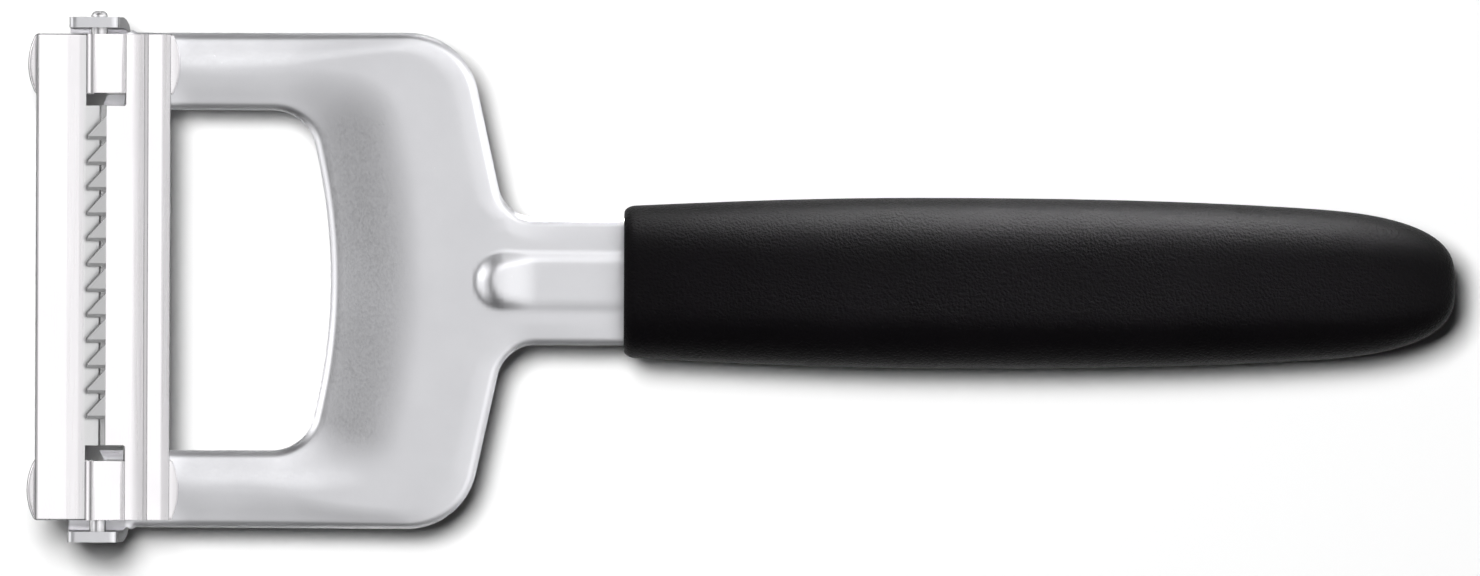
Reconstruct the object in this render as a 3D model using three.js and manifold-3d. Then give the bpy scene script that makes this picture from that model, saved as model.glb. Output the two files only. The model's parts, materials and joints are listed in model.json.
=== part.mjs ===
// A julienne peeler: a stamped steel yoke in a moulded handle, and a blade head that swivels on two pins.
// Lengths are in millimetres and angles in degrees. X runs from the blade head to the end of the handle,
// Y runs along the blade, and Z points up from the table that the handle lies on.

import * as THREE from "three";
import { mergeVertices } from "three/addons/utils/BufferGeometryUtils.js";
import Module from "manifold-3d";

const wasm = await Module();
wasm.setup();

// Pivot pins, which stay in the head and turn in the ears of the yoke
const PIN_DIAMETER = 2.2;
const PIN_DOME = 0.75; // height of the domed outer end
const PIN_CHAMFER = 0.3; // on the inner end
const PIN_PROUD = 0.45; // the pin's tip stands past the ear when the head is centred
const PIN_INSET = 0.6; // the pin's inner end stops short of its crown's inner end
const SEAT_GAP = 0.1; // between pieces of the head that are welded to each other
const RUN_GAP = 0.1; // round the pin in the ear

// Saddles, which carry the strips at both ends of the head
const SADDLE_PLATE = 0.8; // thickness of the plate under the strips
const CROWN_LENGTH = 7.85; // raised middle of the saddle, along the blade
const CROWN_WIDTH = 4.07; // across the top of the crown
const CROWN_ROOF = 0.8; // metal over the pin
const CROWN_WALL = 0.9; // metal in front of the pin, at the foot
const CROWN_FRONT_SLOPE = 0.9;
const CROWN_REAR_SLOPE = 0.25;
const SADDLE_APRON = 0.2; // the plate runs past the crown, towards the middle of the head
const LOBE_RADIUS = 8.4;
const LOBE_FRONT = 0.83; // the lobes show this far outside the strips
const LOBE_REAR = 1.47;

// Knife strip and toothed guide
const HEAD_LENGTH = 64.7;
const STRIP_THICK = 0.8;
const STRIP_CHAMFER = 0.2;
const KNIFE_WIDTH = 6.87; // beside the crowns
const KNIFE_TONGUE = 1.96; // the cutting edge reaches this far past the crowns' fronts
const EDGE_LAND = 0.05; // thickness of the cutting edge itself
const HONE_RUN = 2.95; // steep bevel next to the edge
const HONE_HEIGHT = 0.62;
const GRIND_RUN = 1.75; // shallow bevel behind it
const RIGHT_WINDOW = 1.7; // open gap between the right crown and the cutting slot
const LEFT_WINDOW = 2.1; // the same gap at the left crown
const SLOT_WIDTH = 0.77; // from the cutting edge to the guide's lip
const LIP_RUN = 0.5; // slope of the lip
const GUIDE_WIDTH = 6.41; // beside the crowns
const GROOVE_INSET = 3.63; // from the guide's outer edge
const GROOVE_WIDTH = 0.56;
const GROOVE_SLOPE = 1.04;
const GROOVE_DEPTH = 0.45;
const HEM_RUN = 1.3; // the outer edge falls away
const HEM_DROP = 0.5;

// Slitting teeth, which rise from the guide's lip and stand over the knife
const TOOTH_PITCH = 3.38;
const TOOTH_ROOT = 3.2; // length of a tooth where it leaves the lip
const TOOTH_TIP = 0.6; // length of its blunt tip
const TOOTH_REACH = 1.8; // from the cutting edge to the tip
const TOOTH_RISE = 0.3; // the tip stands above the lip
const TOOTH_PLATE = 0.4; // thickness of the flat of a tooth
const TOOTH_GAP = 0.15; // between the fin and the knife
const FIN_THICK = 0.45; // wall under the straight side of a tooth, which slits the food
const FIN_DROP = 0.25; // the straight side is bevelled down
const FIRST_TOOTH = 1.3; // bare lip before the first tooth
const LAST_TOOTH = 1.3; // least bare lip after the last tooth

// How the head sits in the yoke
const END_PLAY = 2.4; // free length between the ears
const END_GAP = 0.85; // what is left of it at the ear that the head has slid to
const REST_TILT = 18; // the rear of the head hangs down on the arms
const STOP_GAP = 0.3; // between the resting lobes and the arms

// Yoke: arms with ears, web, neck and tang of one sheet
const SHEET = 1.4;
const BEND_RADIUS = 0.6; // inside the bend of an ear
const EAR_FRONT = 3.95; // from the pivot axis to the tip of the arm
const EAR_REAR = 2.65;
const EAR_OVER = 2.65; // ear above the pivot axis
const EAR_ROUND = 0.6;
const EAR_JOG = 2.45; // the ear stands outside the arm's edge
const WING_RUN = 1.8; // slope from the ear back to the arm's edge
const WING_RISE = 1.6; // height of that slope above the arm, at the ear
const ARM_WIDTH = 9.33;
const TIP_BACK = 0.33; // the arm's inner corner lies behind the pivot axis
const TIP_NOTCH = 1.9; // the tip is cut back on a slant, to here behind the pivot axis
const TIP_SLANT = 3.1; // length of the slant along the blade
const TIP_STRAP = 3; // sheet in front of the ear's bend
const TIP_ROUND = 0.5;
const OPENING_DEPTH = 20.2; // from the head's rear edge to the bow of the opening
const OPENING_ROUND = 6.3;
const BOW_SLOPE = 12;
const BOW_RADIUS = 77;
const WEB_WIDTH = 17; // from the bow to the shoulder
const SHOULDER_ROUND = 8.8;
const SHOULDER_SLOPE = 12.3;
const NECK_WIDTH = 16.1;
const NECK_ROUND = 5.4;
const NECK_LENGTH = 16.3; // from the shoulder to the handle
const NECK_INSIDE = 4; // full width of the neck inside the handle
const TANG_STEP = 2.05; // the tang is narrower than the neck, on each side
const TANG_STOP = 32; // from the end of the tang to the end of the handle
const TANG_ROUND = 2;
const TANG_HOLE = 5;
const HOLE_INSET = 14; // from either end of the tang
const PILLOW_DROP = 0.6; // the sheet's edges are pressed down round the web and the arms
const PILLOW_REACH = 4.67; // width of that pressed border
const PILLOW_START = 6; // it fades in along the arms, from here
const PILLOW_FADE = 8;
const RIB_LENGTH = 19.8; // pressed rib on the neck, in front of the handle
const RIB_INSIDE = 6; // and inside it
const RIB_FOOT = 8;
const RIB_TOP = 4.7;
const RIB_HEIGHT = 1;

// Handle
const HANDLE_LENGTH = 110.8;
const HANDLE_THICK = 16;
const HANDLE_COLLAR = 2.05; // the front end stands out from the neck, on each side
const HANDLE_SWELL = 1.25; // each side swells to the widest place
const WIDEST_AT = 41;
const HANDLE_TAPER = 1.15; // each side draws in again before the nose
const TAPER_EASE = 2.5;
const NOSE_LENGTH = 21;
const NOSE_FULLNESS = 3.1;
const SIDE_FULLNESS = 2.4;
const FLAT_WIDTH = 6; // flat strip along the belly and the back
const FRONT_ROUND = 0.9;
const FIT_GAP = 0.2; // between the tang and its slot

// How finely round shapes are divided
const CHORD_ERROR = 0.03;
const ROUND_SIDES = 32;
const GRID_STEP = 2;
const QUARTER_STEPS = 6;
const BODY_RINGS = 9;
const NOSE_RINGS = 9;
const ROUND_RINGS = 3;
const DOME_STEPS = 5;
const HALF_TURN_STEPS = 12;
const MERGE = 1e-4;
const PAST = 1; // cutters run this far past what they cut

const sine = (degrees) => Math.sin(THREE.MathUtils.degToRad(degrees));
const tangent = (degrees) => Math.tan(THREE.MathUtils.degToRad(degrees));

// Places in the head, from the pivot axis: x across the blade, z towards the food
const pinRadius = PIN_DIAMETER / 2;
const headHalf = HEAD_LENGTH / 2;
const slotRight = headHalf - CROWN_LENGTH - RIGHT_WINDOW;
const slotLeft = CROWN_LENGTH + LEFT_WINDOW - headHalf;
const stripLow = SADDLE_PLATE + SEAT_GAP;
const stripTop = stripLow + STRIP_THICK;
const crownFrontFoot = -(pinRadius + SEAT_GAP + CROWN_WALL);
const crownFront = crownFrontFoot + CROWN_FRONT_SLOPE;
const crownRear = crownFront + CROWN_WIDTH;
const crownRearFoot = crownRear + CROWN_REAR_SLOPE;
const crownTop = pinRadius + SEAT_GAP + CROWN_ROOF;
const knifeInner = crownFrontFoot - SEAT_GAP;
const knifeOuter = knifeInner - KNIFE_WIDTH;
const cuttingEdge = knifeInner + KNIFE_TONGUE;
const guideInner = crownRearFoot + SEAT_GAP;
const guideOuter = guideInner + GUIDE_WIDTH;
const lipTop = cuttingEdge + SLOT_WIDTH;
const lobeFront = knifeOuter - LOBE_FRONT;
const lobeRear = guideOuter + LOBE_REAR;

// Places in the yoke, from the pivot axis along x and y, and from the middle of the sheet along z
const sheetTop = SHEET / 2;
const pivotHeight = sheetTop + lobeRear * sine(REST_TILT) + STOP_GAP;
const headShift = END_PLAY / 2 - END_GAP;
const earInner = headHalf + END_PLAY / 2;
const earOuter = earInner + SHEET;
const bendLine = earInner - BEND_RADIUS;
const armOuter = earOuter - EAR_JOG;
const armInner = armOuter - ARM_WIDTH;
const bowApex = lobeRear + OPENING_DEPTH;
const shoulderX = bowApex + WEB_WIDTH;
const neckHalf = NECK_WIDTH / 2;
const neckX = shoulderX + (armOuter - neckHalf) * tangent(SHOULDER_SLOPE);
const handleFront = neckX + NECK_LENGTH;
const neckEnd = handleFront + NECK_INSIDE;
const tangHalf = neckHalf - TANG_STEP;
const tangEnd = handleFront + HANDLE_LENGTH - TANG_STOP;
const holePlaces = [neckEnd + HOLE_INSET, tangEnd - HOLE_INSET];
const pinReach = earOuter + PIN_PROUD;

// Closed geometry to a solid: only places count, and triangles that shrink to a line are dropped.
function solid(geometry) {
  const loose = geometry.index ? geometry.toNonIndexed() : geometry;
  const bare = new THREE.BufferGeometry();
  bare.setAttribute("position", loose.getAttribute("position"));
  const merged = mergeVertices(bare, MERGE);
  const corners = Array.from(merged.index.array);
  const triangles = [];
  for (let i = 0; i < corners.length; i += 3) {
    const [a, b, c] = corners.slice(i, i + 3);
    if (a !== b && b !== c && c !== a) triangles.push(a, b, c);
  }
  return new wasm.Manifold(
    new wasm.Mesh({
      numProp: 3,
      vertProperties: Float32Array.from(merged.getAttribute("position").array),
      triVerts: Uint32Array.from(triangles),
    }),
  );
}

function geometryOf(shape) {
  const mesh = shape.getMesh();
  const geometry = new THREE.BufferGeometry();
  geometry.setAttribute("position", new THREE.BufferAttribute(mesh.vertProperties, mesh.numProp));
  geometry.setIndex(new THREE.BufferAttribute(mesh.triVerts, 1));
  geometry.computeVertexNormals();
  return geometry;
}

function piece(name, geometry, finish) {
  const mesh = new THREE.Mesh(geometry, new THREE.MeshStandardMaterial(finish));
  mesh.name = name;
  return mesh;
}

const steel = { color: 0xd2d3d6, roughness: 0.38, metalness: 1 };
const brightSteel = { color: 0xf2f1f3, roughness: 0.24, metalness: 1 };
const blackPlastic = { color: 0x0c0c0d, roughness: 0.55, metalness: 0 };

const vectors = (points) => points.map(([x, y]) => new THREE.Vector2(x, y));

function prism(outline, depth) {
  return new THREE.ExtrudeGeometry(new THREE.Shape(outline), { depth, bevelEnabled: false });
}

// Extrudes an outline of [x, z] points along Y.
function alongY(points, from, to) {
  return solid(prism(vectors(points), to - from).rotateX(Math.PI / 2).translate(0, to, 0));
}

// Extrudes an outline of [y, z] points along X.
function alongX(points, from, to) {
  const turn = new THREE.Matrix4().makeBasis(
    new THREE.Vector3(0, 1, 0),
    new THREE.Vector3(0, 0, 1),
    new THREE.Vector3(1, 0, 0),
  );
  return solid(prism(vectors(points), to - from).applyMatrix4(turn).translate(from, 0, 0));
}

// Extrudes an outline of [x, y] vectors along Z.
function alongZ(outline, from, to) {
  return solid(prism(outline, to - from).translate(0, 0, from));
}

function block(xs, ys, zs) {
  const [width, depth, height] = [xs, ys, zs].map(([low, high]) => high - low);
  const [x, y, z] = [xs, ys, zs].map(([low, high]) => (low + high) / 2);
  return solid(new THREE.BoxGeometry(width, depth, height).translate(x, y, z));
}

function rodAlongY(radius, from, to) {
  const rod = new THREE.CylinderGeometry(radius, radius, to - from, ROUND_SIDES);
  return rod.translate(0, (from + to) / 2, 0);
}

function uprightRod(radius, x, half) {
  return solid(rodAlongY(radius, -half, half).rotateX(Math.PI / 2).translate(x, 0, 0));
}

function arc(centre, radius, from, to) {
  const step = 2 * Math.acos(1 - Math.min(CHORD_ERROR, radius / 2) / radius);
  const count = Math.max(2, Math.ceil(Math.abs(to - from) / step));
  const points = [];
  for (let i = 0; i <= count; i += 1) {
    const angle = from + ((to - from) * i) / count;
    points.push(new THREE.Vector2(Math.cos(angle), Math.sin(angle)).multiplyScalar(radius).add(centre));
  }
  return points;
}

// Rounds the corners of a closed outline, each given as [x, y, radius]; short edges shrink the radius.
function rounded(corners) {
  const count = corners.length;
  const points = vectors(corners);
  const before = (i) => (i + count - 1) % count;
  const after = (i) => (i + 1) % count;
  const backs = points.map((point, i) => points[before(i)].clone().sub(point));
  const onwards = points.map((point, i) => points[after(i)].clone().sub(point));
  const halves = points.map((point, i) => backs[i].angleTo(onwards[i]) / 2);
  const runs = corners.map(([, , radius], i) => radius / Math.tan(halves[i]));
  const outline = [];
  for (let i = 0; i < count; i += 1) {
    const room = [before(i), after(i)].map((j) => points[i].distanceTo(points[j]) / (runs[i] + runs[j]));
    const radius = corners[i][2] * Math.min(1, ...room.filter(Number.isFinite));
    if (radius === 0) {
      outline.push(points[i]);
      continue;
    }
    const run = radius / Math.tan(halves[i]);
    const start = backs[i].clone().setLength(run);
    const end = onwards[i].clone().setLength(run);
    const toCentre = start.clone().add(end).setLength(radius / Math.sin(halves[i]));
    const from = start.sub(toCentre).angle();
    let turn = end.sub(toCentre).angle() - from;
    turn -= 2 * Math.PI * Math.round(turn / (2 * Math.PI));
    outline.push(...arc(points[i].clone().add(toCentre), radius, from, from + turn));
  }
  return outline;
}

function mirrored(corners) {
  const other = corners.map(([x, y, radius]) => [x, -y, radius]).reverse();
  return corners.concat(other);
}

// Closed skin over rings of equal count, with a fan on the first and the last ring.
function loft(rings) {
  const count = rings[0].length;
  const places = rings.flat();
  const triangles = [];
  for (let ring = 0; ring + 1 < rings.length; ring += 1) {
    for (let i = 0; i < count; i += 1) {
      const a = ring * count + i;
      const b = ring * count + ((i + 1) % count);
      triangles.push(a, b, b + count, a, b + count, a + count);
    }
  }
  for (const [ring, turn] of [[0, 1], [rings.length - 1, -1]]) {
    const middle = places.length;
    const sum = rings[ring].reduce((total, point) => total.add(point), new THREE.Vector3());
    places.push(sum.divideScalar(count));
    for (let i = 0; i < count; i += 1) {
      const side = [ring * count + i, ring * count + ((i + 1) % count)];
      triangles.push(middle, ...(turn > 0 ? side.reverse() : side));
    }
  }
  const geometry = new THREE.BufferGeometry().setFromPoints(places);
  geometry.setIndex(triangles);
  return solid(geometry);
}

// Yoke

function edgeDistance(point, outline) {
  const nearest = new THREE.Vector3();
  const place = new THREE.Vector3(point.x, point.y, 0);
  const side = new THREE.Line3();
  let least = Infinity;
  outline.forEach((start, i) => {
    const end = outline[(i + 1) % outline.length];
    side.start.set(start.x, start.y, 0);
    side.end.set(end.x, end.y, 0);
    side.closestPointToPoint(place, true, nearest);
    least = Math.min(least, nearest.distanceTo(place));
  });
  return least;
}

function steps(from, to, step) {
  const count = Math.ceil((to - from) / step);
  return Array.from({ length: count + 1 }, (_, i) => from + ((to - from) * i) / count);
}

// A sheet of even thickness whose middle lies at height(x, y), over a grid of x and y lines.
function formedSheet(xs, ys, height) {
  const places = [];
  for (const half of [sheetTop, -sheetTop]) {
    for (const x of xs) {
      for (const y of ys) places.push(new THREE.Vector3(x, y, height(x, y) + half));
    }
  }
  const under = xs.length * ys.length;
  const at = (i, j) => i * ys.length + j;
  const triangles = [];
  const quad = (a, b, c, d) => triangles.push(a, b, c, a, c, d);
  const lastX = xs.length - 1;
  const lastY = ys.length - 1;
  for (let i = 0; i < lastX; i += 1) {
    for (let j = 0; j < lastY; j += 1) {
      quad(at(i, j), at(i + 1, j), at(i + 1, j + 1), at(i, j + 1));
      quad(under + at(i, j), under + at(i, j + 1), under + at(i + 1, j + 1), under + at(i + 1, j));
    }
    quad(at(i, 0), under + at(i, 0), under + at(i + 1, 0), at(i + 1, 0));
    quad(at(i, lastY), at(i + 1, lastY), under + at(i + 1, lastY), under + at(i, lastY));
  }
  for (let j = 0; j < lastY; j += 1) {
    quad(at(0, j), at(0, j + 1), under + at(0, j + 1), under + at(0, j));
    quad(at(lastX, j), under + at(lastX, j), under + at(lastX, j + 1), at(lastX, j + 1));
  }
  const geometry = new THREE.BufferGeometry().setFromPoints(places);
  geometry.setIndex(triangles);
  return solid(geometry);
}

// The opening's bow is a wide arc between two slanted sides, so its corners follow from the slope.
function yokeOutline() {
  const slant = THREE.MathUtils.degToRad(BOW_SLOPE);
  const bowCorner = bowApex - BOW_RADIUS + BOW_RADIUS / Math.cos(slant);
  const openingCorner = bowCorner - armInner * Math.tan(slant);
  const wingFoot = EAR_REAR + (WING_RUN * (BEND_RADIUS + SHEET)) / EAR_JOG;
  return rounded(
    mirrored([
      [bowCorner, 0, BOW_RADIUS],
      [openingCorner, armInner, OPENING_ROUND],
      [TIP_BACK, armInner, TIP_ROUND],
      [TIP_NOTCH, armInner + TIP_SLANT, TIP_ROUND],
      [-EAR_FRONT, bendLine - TIP_STRAP, TIP_ROUND],
      [-EAR_FRONT, bendLine, 0],
      [wingFoot, bendLine, 0],
      [EAR_REAR + WING_RUN, armOuter, 0],
      [shoulderX, armOuter, SHOULDER_ROUND],
      [neckX, neckHalf, NECK_ROUND],
      [neckEnd, neckHalf, 0],
      [neckEnd, tangHalf, 0],
      [tangEnd, tangHalf, TANG_ROUND],
    ]).slice(0, -1),
  );
}

function pressedSheet() {
  const outline = yokeOutline();
  const fadeEnd = neckX;
  const fade = (x) =>
    THREE.MathUtils.smoothstep(x, PILLOW_START, PILLOW_START + PILLOW_FADE) *
    (1 - THREE.MathUtils.smoothstep(x, fadeEnd - PILLOW_FADE, fadeEnd));
  const drop = (x, y) => {
    const inside = Math.min(1, edgeDistance({ x, y }, outline) / PILLOW_REACH);
    return -PILLOW_DROP * fade(x) * (1 - inside) ** 2;
  };
  const xs = [-EAR_FRONT - PAST, ...steps(PILLOW_START, fadeEnd, GRID_STEP), tangEnd + PAST];
  const ys = steps(-earOuter - PAST, earOuter + PAST, GRID_STEP);
  const reach = SHEET + PILLOW_DROP;
  return formedSheet(xs, ys, drop).intersect(alongZ(outline, -reach, reach));
}

// An ear is bent up from the sheet; its rear edge runs out in a low wing on the arm's edge.
function ear(side) {
  const wingEnd = EAR_REAR + WING_RUN;
  const bendCentre = new THREE.Vector2(bendLine, sheetTop + BEND_RADIUS);
  const top = pivotHeight + EAR_OVER;
  const section = [
    new THREE.Vector2(bendLine - PAST, -sheetTop),
    ...arc(bendCentre, BEND_RADIUS + SHEET, -Math.PI / 2, 0),
    new THREE.Vector2(earOuter, top),
    new THREE.Vector2(earInner, top),
    ...arc(bendCentre, BEND_RADIUS, 0, -Math.PI / 2),
    new THREE.Vector2(bendLine - PAST, sheetTop),
  ];
  const bent = alongX(section.map(({ x, y }) => [side * x, y]), -EAR_FRONT, wingEnd);
  const plan = vectors([
    [-EAR_FRONT, 0],
    [wingEnd, 0],
    [wingEnd, side * armOuter],
    [EAR_REAR, side * earOuter],
    [-EAR_FRONT, side * earOuter],
  ]);
  const face = rounded([
    [-EAR_FRONT, -SHEET, 0],
    [wingEnd, -SHEET, 0],
    [wingEnd, sheetTop, 0],
    [EAR_REAR, sheetTop + WING_RISE, 0],
    [EAR_REAR, top, EAR_ROUND],
    [-EAR_FRONT, top, EAR_ROUND],
  ]).map(({ x, y }) => [x, y]);
  const hole = rodAlongY(pinRadius + RUN_GAP, bendLine, earOuter + PAST).translate(0, 0, pivotHeight);
  const inPlan = bent.intersect(alongZ(plan, -SHEET, top + PAST));
  const trimmed = inPlan.intersect(alongY(face, -earOuter - PAST, earOuter + PAST));
  return trimmed.subtract(solid(side > 0 ? hole : hole.rotateZ(Math.PI)));
}

// The rib has a round end and sloping sides. It is grown by a gap for the slot that it lies in.
function ribSolid(base, face, grow) {
  const ends = [
    [handleFront - RIB_LENGTH + RIB_FOOT / 2, Math.PI / 2],
    [handleFront + RIB_INSIDE - RIB_FOOT / 2, -Math.PI / 2],
  ];
  const layers = [
    [RIB_FOOT / 2 + grow, base],
    [RIB_FOOT / 2 + grow, face],
    [RIB_TOP / 2 + grow, face + RIB_HEIGHT],
  ];
  const rings = layers.map(([half, z]) => {
    const ring = [];
    for (const [x, start] of ends) {
      for (let i = 0; i <= HALF_TURN_STEPS; i += 1) {
        const angle = start + (Math.PI * i) / HALF_TURN_STEPS;
        ring.push(new THREE.Vector3(x + half * Math.cos(angle), half * Math.sin(angle), z));
      }
    }
    return ring;
  });
  return loft(rings);
}

function yokeSolid() {
  let yoke = pressedSheet();
  yoke = yoke.add(ear(1)).add(ear(-1));
  yoke = yoke.add(ribSolid(0, sheetTop, 0));
  yoke = yoke.subtract(ribSolid(-sheetTop - PAST, -sheetTop, 0));
  for (const x of holePlaces) yoke = yoke.subtract(uprightRod(TANG_HOLE / 2, x, SHEET));
  return yoke;
}

// Handle

function handleSide(along) {
  const front = neckHalf + HANDLE_COLLAR;
  const widest = front + HANDLE_SWELL;
  if (along < WIDEST_AT) return front + HANDLE_SWELL * Math.sin((Math.PI / 2) * (along / WIDEST_AT));
  const taperLength = HANDLE_LENGTH - NOSE_LENGTH - WIDEST_AT;
  return widest - HANDLE_TAPER * ((along - WIDEST_AT) / taperLength) ** TAPER_EASE;
}

// One cross-section: a flat strip on the back and the belly, and full round sides between them
function handleRing(along, x, inset, nose) {
  const side = handleSide(along);
  const swell = side - (neckHalf + HANDLE_COLLAR + HANDLE_SWELL);
  const half = side * nose - inset;
  const back = (HANDLE_THICK / 2 + swell) * nose - inset;
  const belly = (HANDLE_THICK / 2) * nose - inset;
  const flat = (FLAT_WIDTH / 2) * nose;
  const quarter = Array.from({ length: QUARTER_STEPS + 1 }, (_, i) => {
    const angle = (Math.PI / 2) * (i / QUARTER_STEPS);
    const across = flat + (half - flat) * Math.cos(angle) ** (2 / SIDE_FULLNESS);
    return [i < QUARTER_STEPS ? across : flat, Math.sin(angle) ** (2 / SIDE_FULLNESS)];
  });
  const lower = quarter.slice(1);
  const places = [
    ...quarter.map(([across, up]) => [across, back * up]),
    ...quarter.toReversed().map(([across, up]) => [-across, back * up]),
    ...lower.map(([across, up]) => [-across, -belly * up]),
    ...lower.toReversed().map(([across, up]) => [across, -belly * up]),
  ];
  return places.map(([y, z]) => new THREE.Vector3(x, y, z));
}

function handleSolid() {
  const noseStart = HANDLE_LENGTH - NOSE_LENGTH;
  const rings = [];
  for (let i = 0; i < ROUND_RINGS; i += 1) {
    const angle = (Math.PI / 2) * (i / ROUND_RINGS);
    const along = FRONT_ROUND * (1 - Math.cos(angle));
    rings.push(handleRing(along, handleFront + along, FRONT_ROUND * (1 - Math.sin(angle)), 1));
  }
  for (const along of steps(FRONT_ROUND, noseStart, (noseStart - FRONT_ROUND) / BODY_RINGS)) {
    rings.push(handleRing(along, handleFront + along, 0, 1));
  }
  for (let i = 1; i <= NOSE_RINGS; i += 1) {
    const share = Math.sin((Math.PI / 2) * (i / (NOSE_RINGS + 1)));
    const along = noseStart + NOSE_LENGTH * share;
    const nose = (1 - share ** NOSE_FULLNESS) ** (1 / NOSE_FULLNESS);
    rings.push(handleRing(along, handleFront + along, 0, nose));
  }
  const tip = new THREE.Vector3(handleFront + HANDLE_LENGTH, 0, 0);
  rings.push(rings[0].map(() => tip));
  const slotHigh = sheetTop + FIT_GAP;
  const zs = [-slotHigh, slotHigh];
  const neckSide = neckHalf + FIT_GAP;
  const tangSide = tangHalf + FIT_GAP;
  let slot = block([handleFront - PAST, neckEnd + FIT_GAP], [-neckSide, neckSide], zs);
  slot = slot.add(block([handleFront, tangEnd + FIT_GAP], [-tangSide, tangSide], zs));
  slot = slot.add(ribSolid(0, sheetTop + FIT_GAP, FIT_GAP));
  for (const x of holePlaces) slot = slot.subtract(uprightRod(TANG_HOLE / 2 - FIT_GAP, x, SHEET));
  return loft(rings).subtract(slot);
}

// Blade head

// The strips are cut back across x beside the crowns, so that a tongue is left along the slot.
function cutBesideCrowns(strip, xs) {
  const zs = [stripLow - PAST, stripTop + PAST];
  const left = block(xs, [-headHalf - PAST, slotLeft], zs);
  return strip.subtract(left).subtract(block(xs, [slotRight, headHalf + PAST], zs));
}

function knifeSolid() {
  const low = stripLow;
  const outline = [
    [knifeOuter, low],
    [cuttingEdge, low],
    [cuttingEdge, low + EDGE_LAND],
    [cuttingEdge - HONE_RUN, low + HONE_HEIGHT],
    [cuttingEdge - HONE_RUN - GRIND_RUN, stripTop],
    [knifeOuter + STRIP_CHAMFER, stripTop],
    [knifeOuter, stripTop - STRIP_CHAMFER],
  ];
  const strip = alongY(outline, -headHalf, headHalf);
  return cutBesideCrowns(strip, [knifeInner, cuttingEdge + PAST]);
}

// A tooth is a flat with a slanted side; under its straight side a fin comes down to the knife's bevel.
function tooth(place) {
  const tip = cuttingEdge - TOOTH_REACH;
  const edgeTop = stripLow + EDGE_LAND + TOOTH_GAP;
  const tipBevel = edgeTop + (TOOTH_REACH * (HONE_HEIGHT - EDGE_LAND)) / HONE_RUN;
  const ends = [
    { x: tip, length: TOOTH_TIP, top: stripTop + TOOTH_RISE, foot: tipBevel },
    { x: lipTop, length: TOOTH_ROOT, top: stripTop, foot: edgeTop },
  ];
  const ring = (x, points) => points.map(([y, z]) => new THREE.Vector3(x, place + y, z));
  const flat = ends.map(({ x, length, top }) =>
    ring(x, [
      [0, top - TOOTH_PLATE],
      [length, top - TOOTH_PLATE],
      [length, top],
      [FIN_THICK, top],
      [0, top - FIN_DROP],
    ]),
  );
  const fin = ends.map(({ x, top, foot }) =>
    ring(x, [
      [0, foot],
      [FIN_THICK, foot],
      [FIN_THICK, top - FIN_DROP],
      [0, top - FIN_DROP],
    ]),
  );
  return loft(flat).add(loft(fin));
}

function guideSolid() {
  const grooveFar = guideOuter - GROOVE_INSET;
  const grooveNear = grooveFar - GROOVE_WIDTH;
  const grooveFloor = stripTop - GROOVE_DEPTH;
  const outline = [
    [lipTop - LIP_RUN, stripLow],
    [guideOuter, stripLow],
    [guideOuter, stripTop - HEM_DROP],
    [guideOuter - HEM_RUN, stripTop],
    [grooveFar, stripTop],
    [grooveFar, grooveFloor],
    [grooveNear, grooveFloor],
    [grooveNear - GROOVE_SLOPE, stripTop],
    [lipTop, stripTop],
  ];
  const strip = alongY(outline, -headHalf, headHalf);
  let guide = cutBesideCrowns(strip, [lipTop - LIP_RUN - PAST, guideInner]);
  const toothed = slotRight - slotLeft - FIRST_TOOTH - LAST_TOOTH;
  const count = Math.floor(toothed / TOOTH_PITCH);
  for (let i = 0; i < count; i += 1) {
    guide = guide.add(tooth(slotRight - FIRST_TOOTH - TOOTH_ROOT - TOOTH_PITCH * i));
  }
  return guide;
}

// A saddle for one end of the head: side is 1 at +Y and -1 at -Y.
function saddleSolid(side) {
  const reach = CROWN_LENGTH + SADDLE_APRON;
  const middle = side * (headHalf - reach / 2);
  const bulge = Math.asin(reach / 2 / LOBE_RADIUS);
  const outline = [
    ...arc(new THREE.Vector2(lobeRear - LOBE_RADIUS, middle), LOBE_RADIUS, -bulge, bulge),
    ...arc(new THREE.Vector2(lobeFront + LOBE_RADIUS, middle), LOBE_RADIUS, Math.PI - bulge, Math.PI + bulge),
  ];
  const crown = [
    [crownFrontFoot, SADDLE_PLATE / 2],
    [crownRearFoot, SADDLE_PLATE / 2],
    [crownRearFoot, SADDLE_PLATE],
    [crownRear, crownTop],
    [crownFront, crownTop],
    [crownFrontFoot, SADDLE_PLATE],
  ];
  const ends = [side * (headHalf - CROWN_LENGTH), side * headHalf].sort((a, b) => a - b);
  const channel = rodAlongY(pinRadius + SEAT_GAP, -headHalf - PAST, headHalf + PAST);
  return alongZ(outline, 0, SADDLE_PLATE).add(alongY(crown, ...ends)).subtract(solid(channel));
}

function pinGeometry(side) {
  const inner = headHalf - CROWN_LENGTH + PIN_INSET;
  const profile = [
    [0, inner],
    [pinRadius - PIN_CHAMFER, inner],
    [pinRadius, inner + PIN_CHAMFER],
  ];
  for (let i = 0; i < DOME_STEPS; i += 1) {
    const angle = (Math.PI / 2) * (i / DOME_STEPS);
    profile.push([pinRadius * Math.cos(angle), pinReach - PIN_DOME * (1 - Math.sin(angle))]);
  }
  profile.push([0, pinReach]);
  const pin = new THREE.LatheGeometry(vectors(profile), ROUND_SIDES);
  return side > 0 ? pin : pin.rotateZ(Math.PI);
}

// The head lies on the pivot axis, slid towards one ear, with its rear resting on the arms.
const head = new THREE.Group();
head.add(piece("knife_strip", geometryOf(knifeSolid()), brightSteel));
head.add(piece("toothed_guide", geometryOf(guideSolid()), brightSteel));
for (const [side, name] of [[1, "right"], [-1, "left"]]) {
  head.add(piece(name + "_saddle", geometryOf(saddleSolid(side)), brightSteel));
  head.add(piece(name + "_pivot_pin", pinGeometry(side), steel));
}
head.position.set(0, headShift, pivotHeight);
head.rotation.y = THREE.MathUtils.degToRad(REST_TILT);

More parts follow.
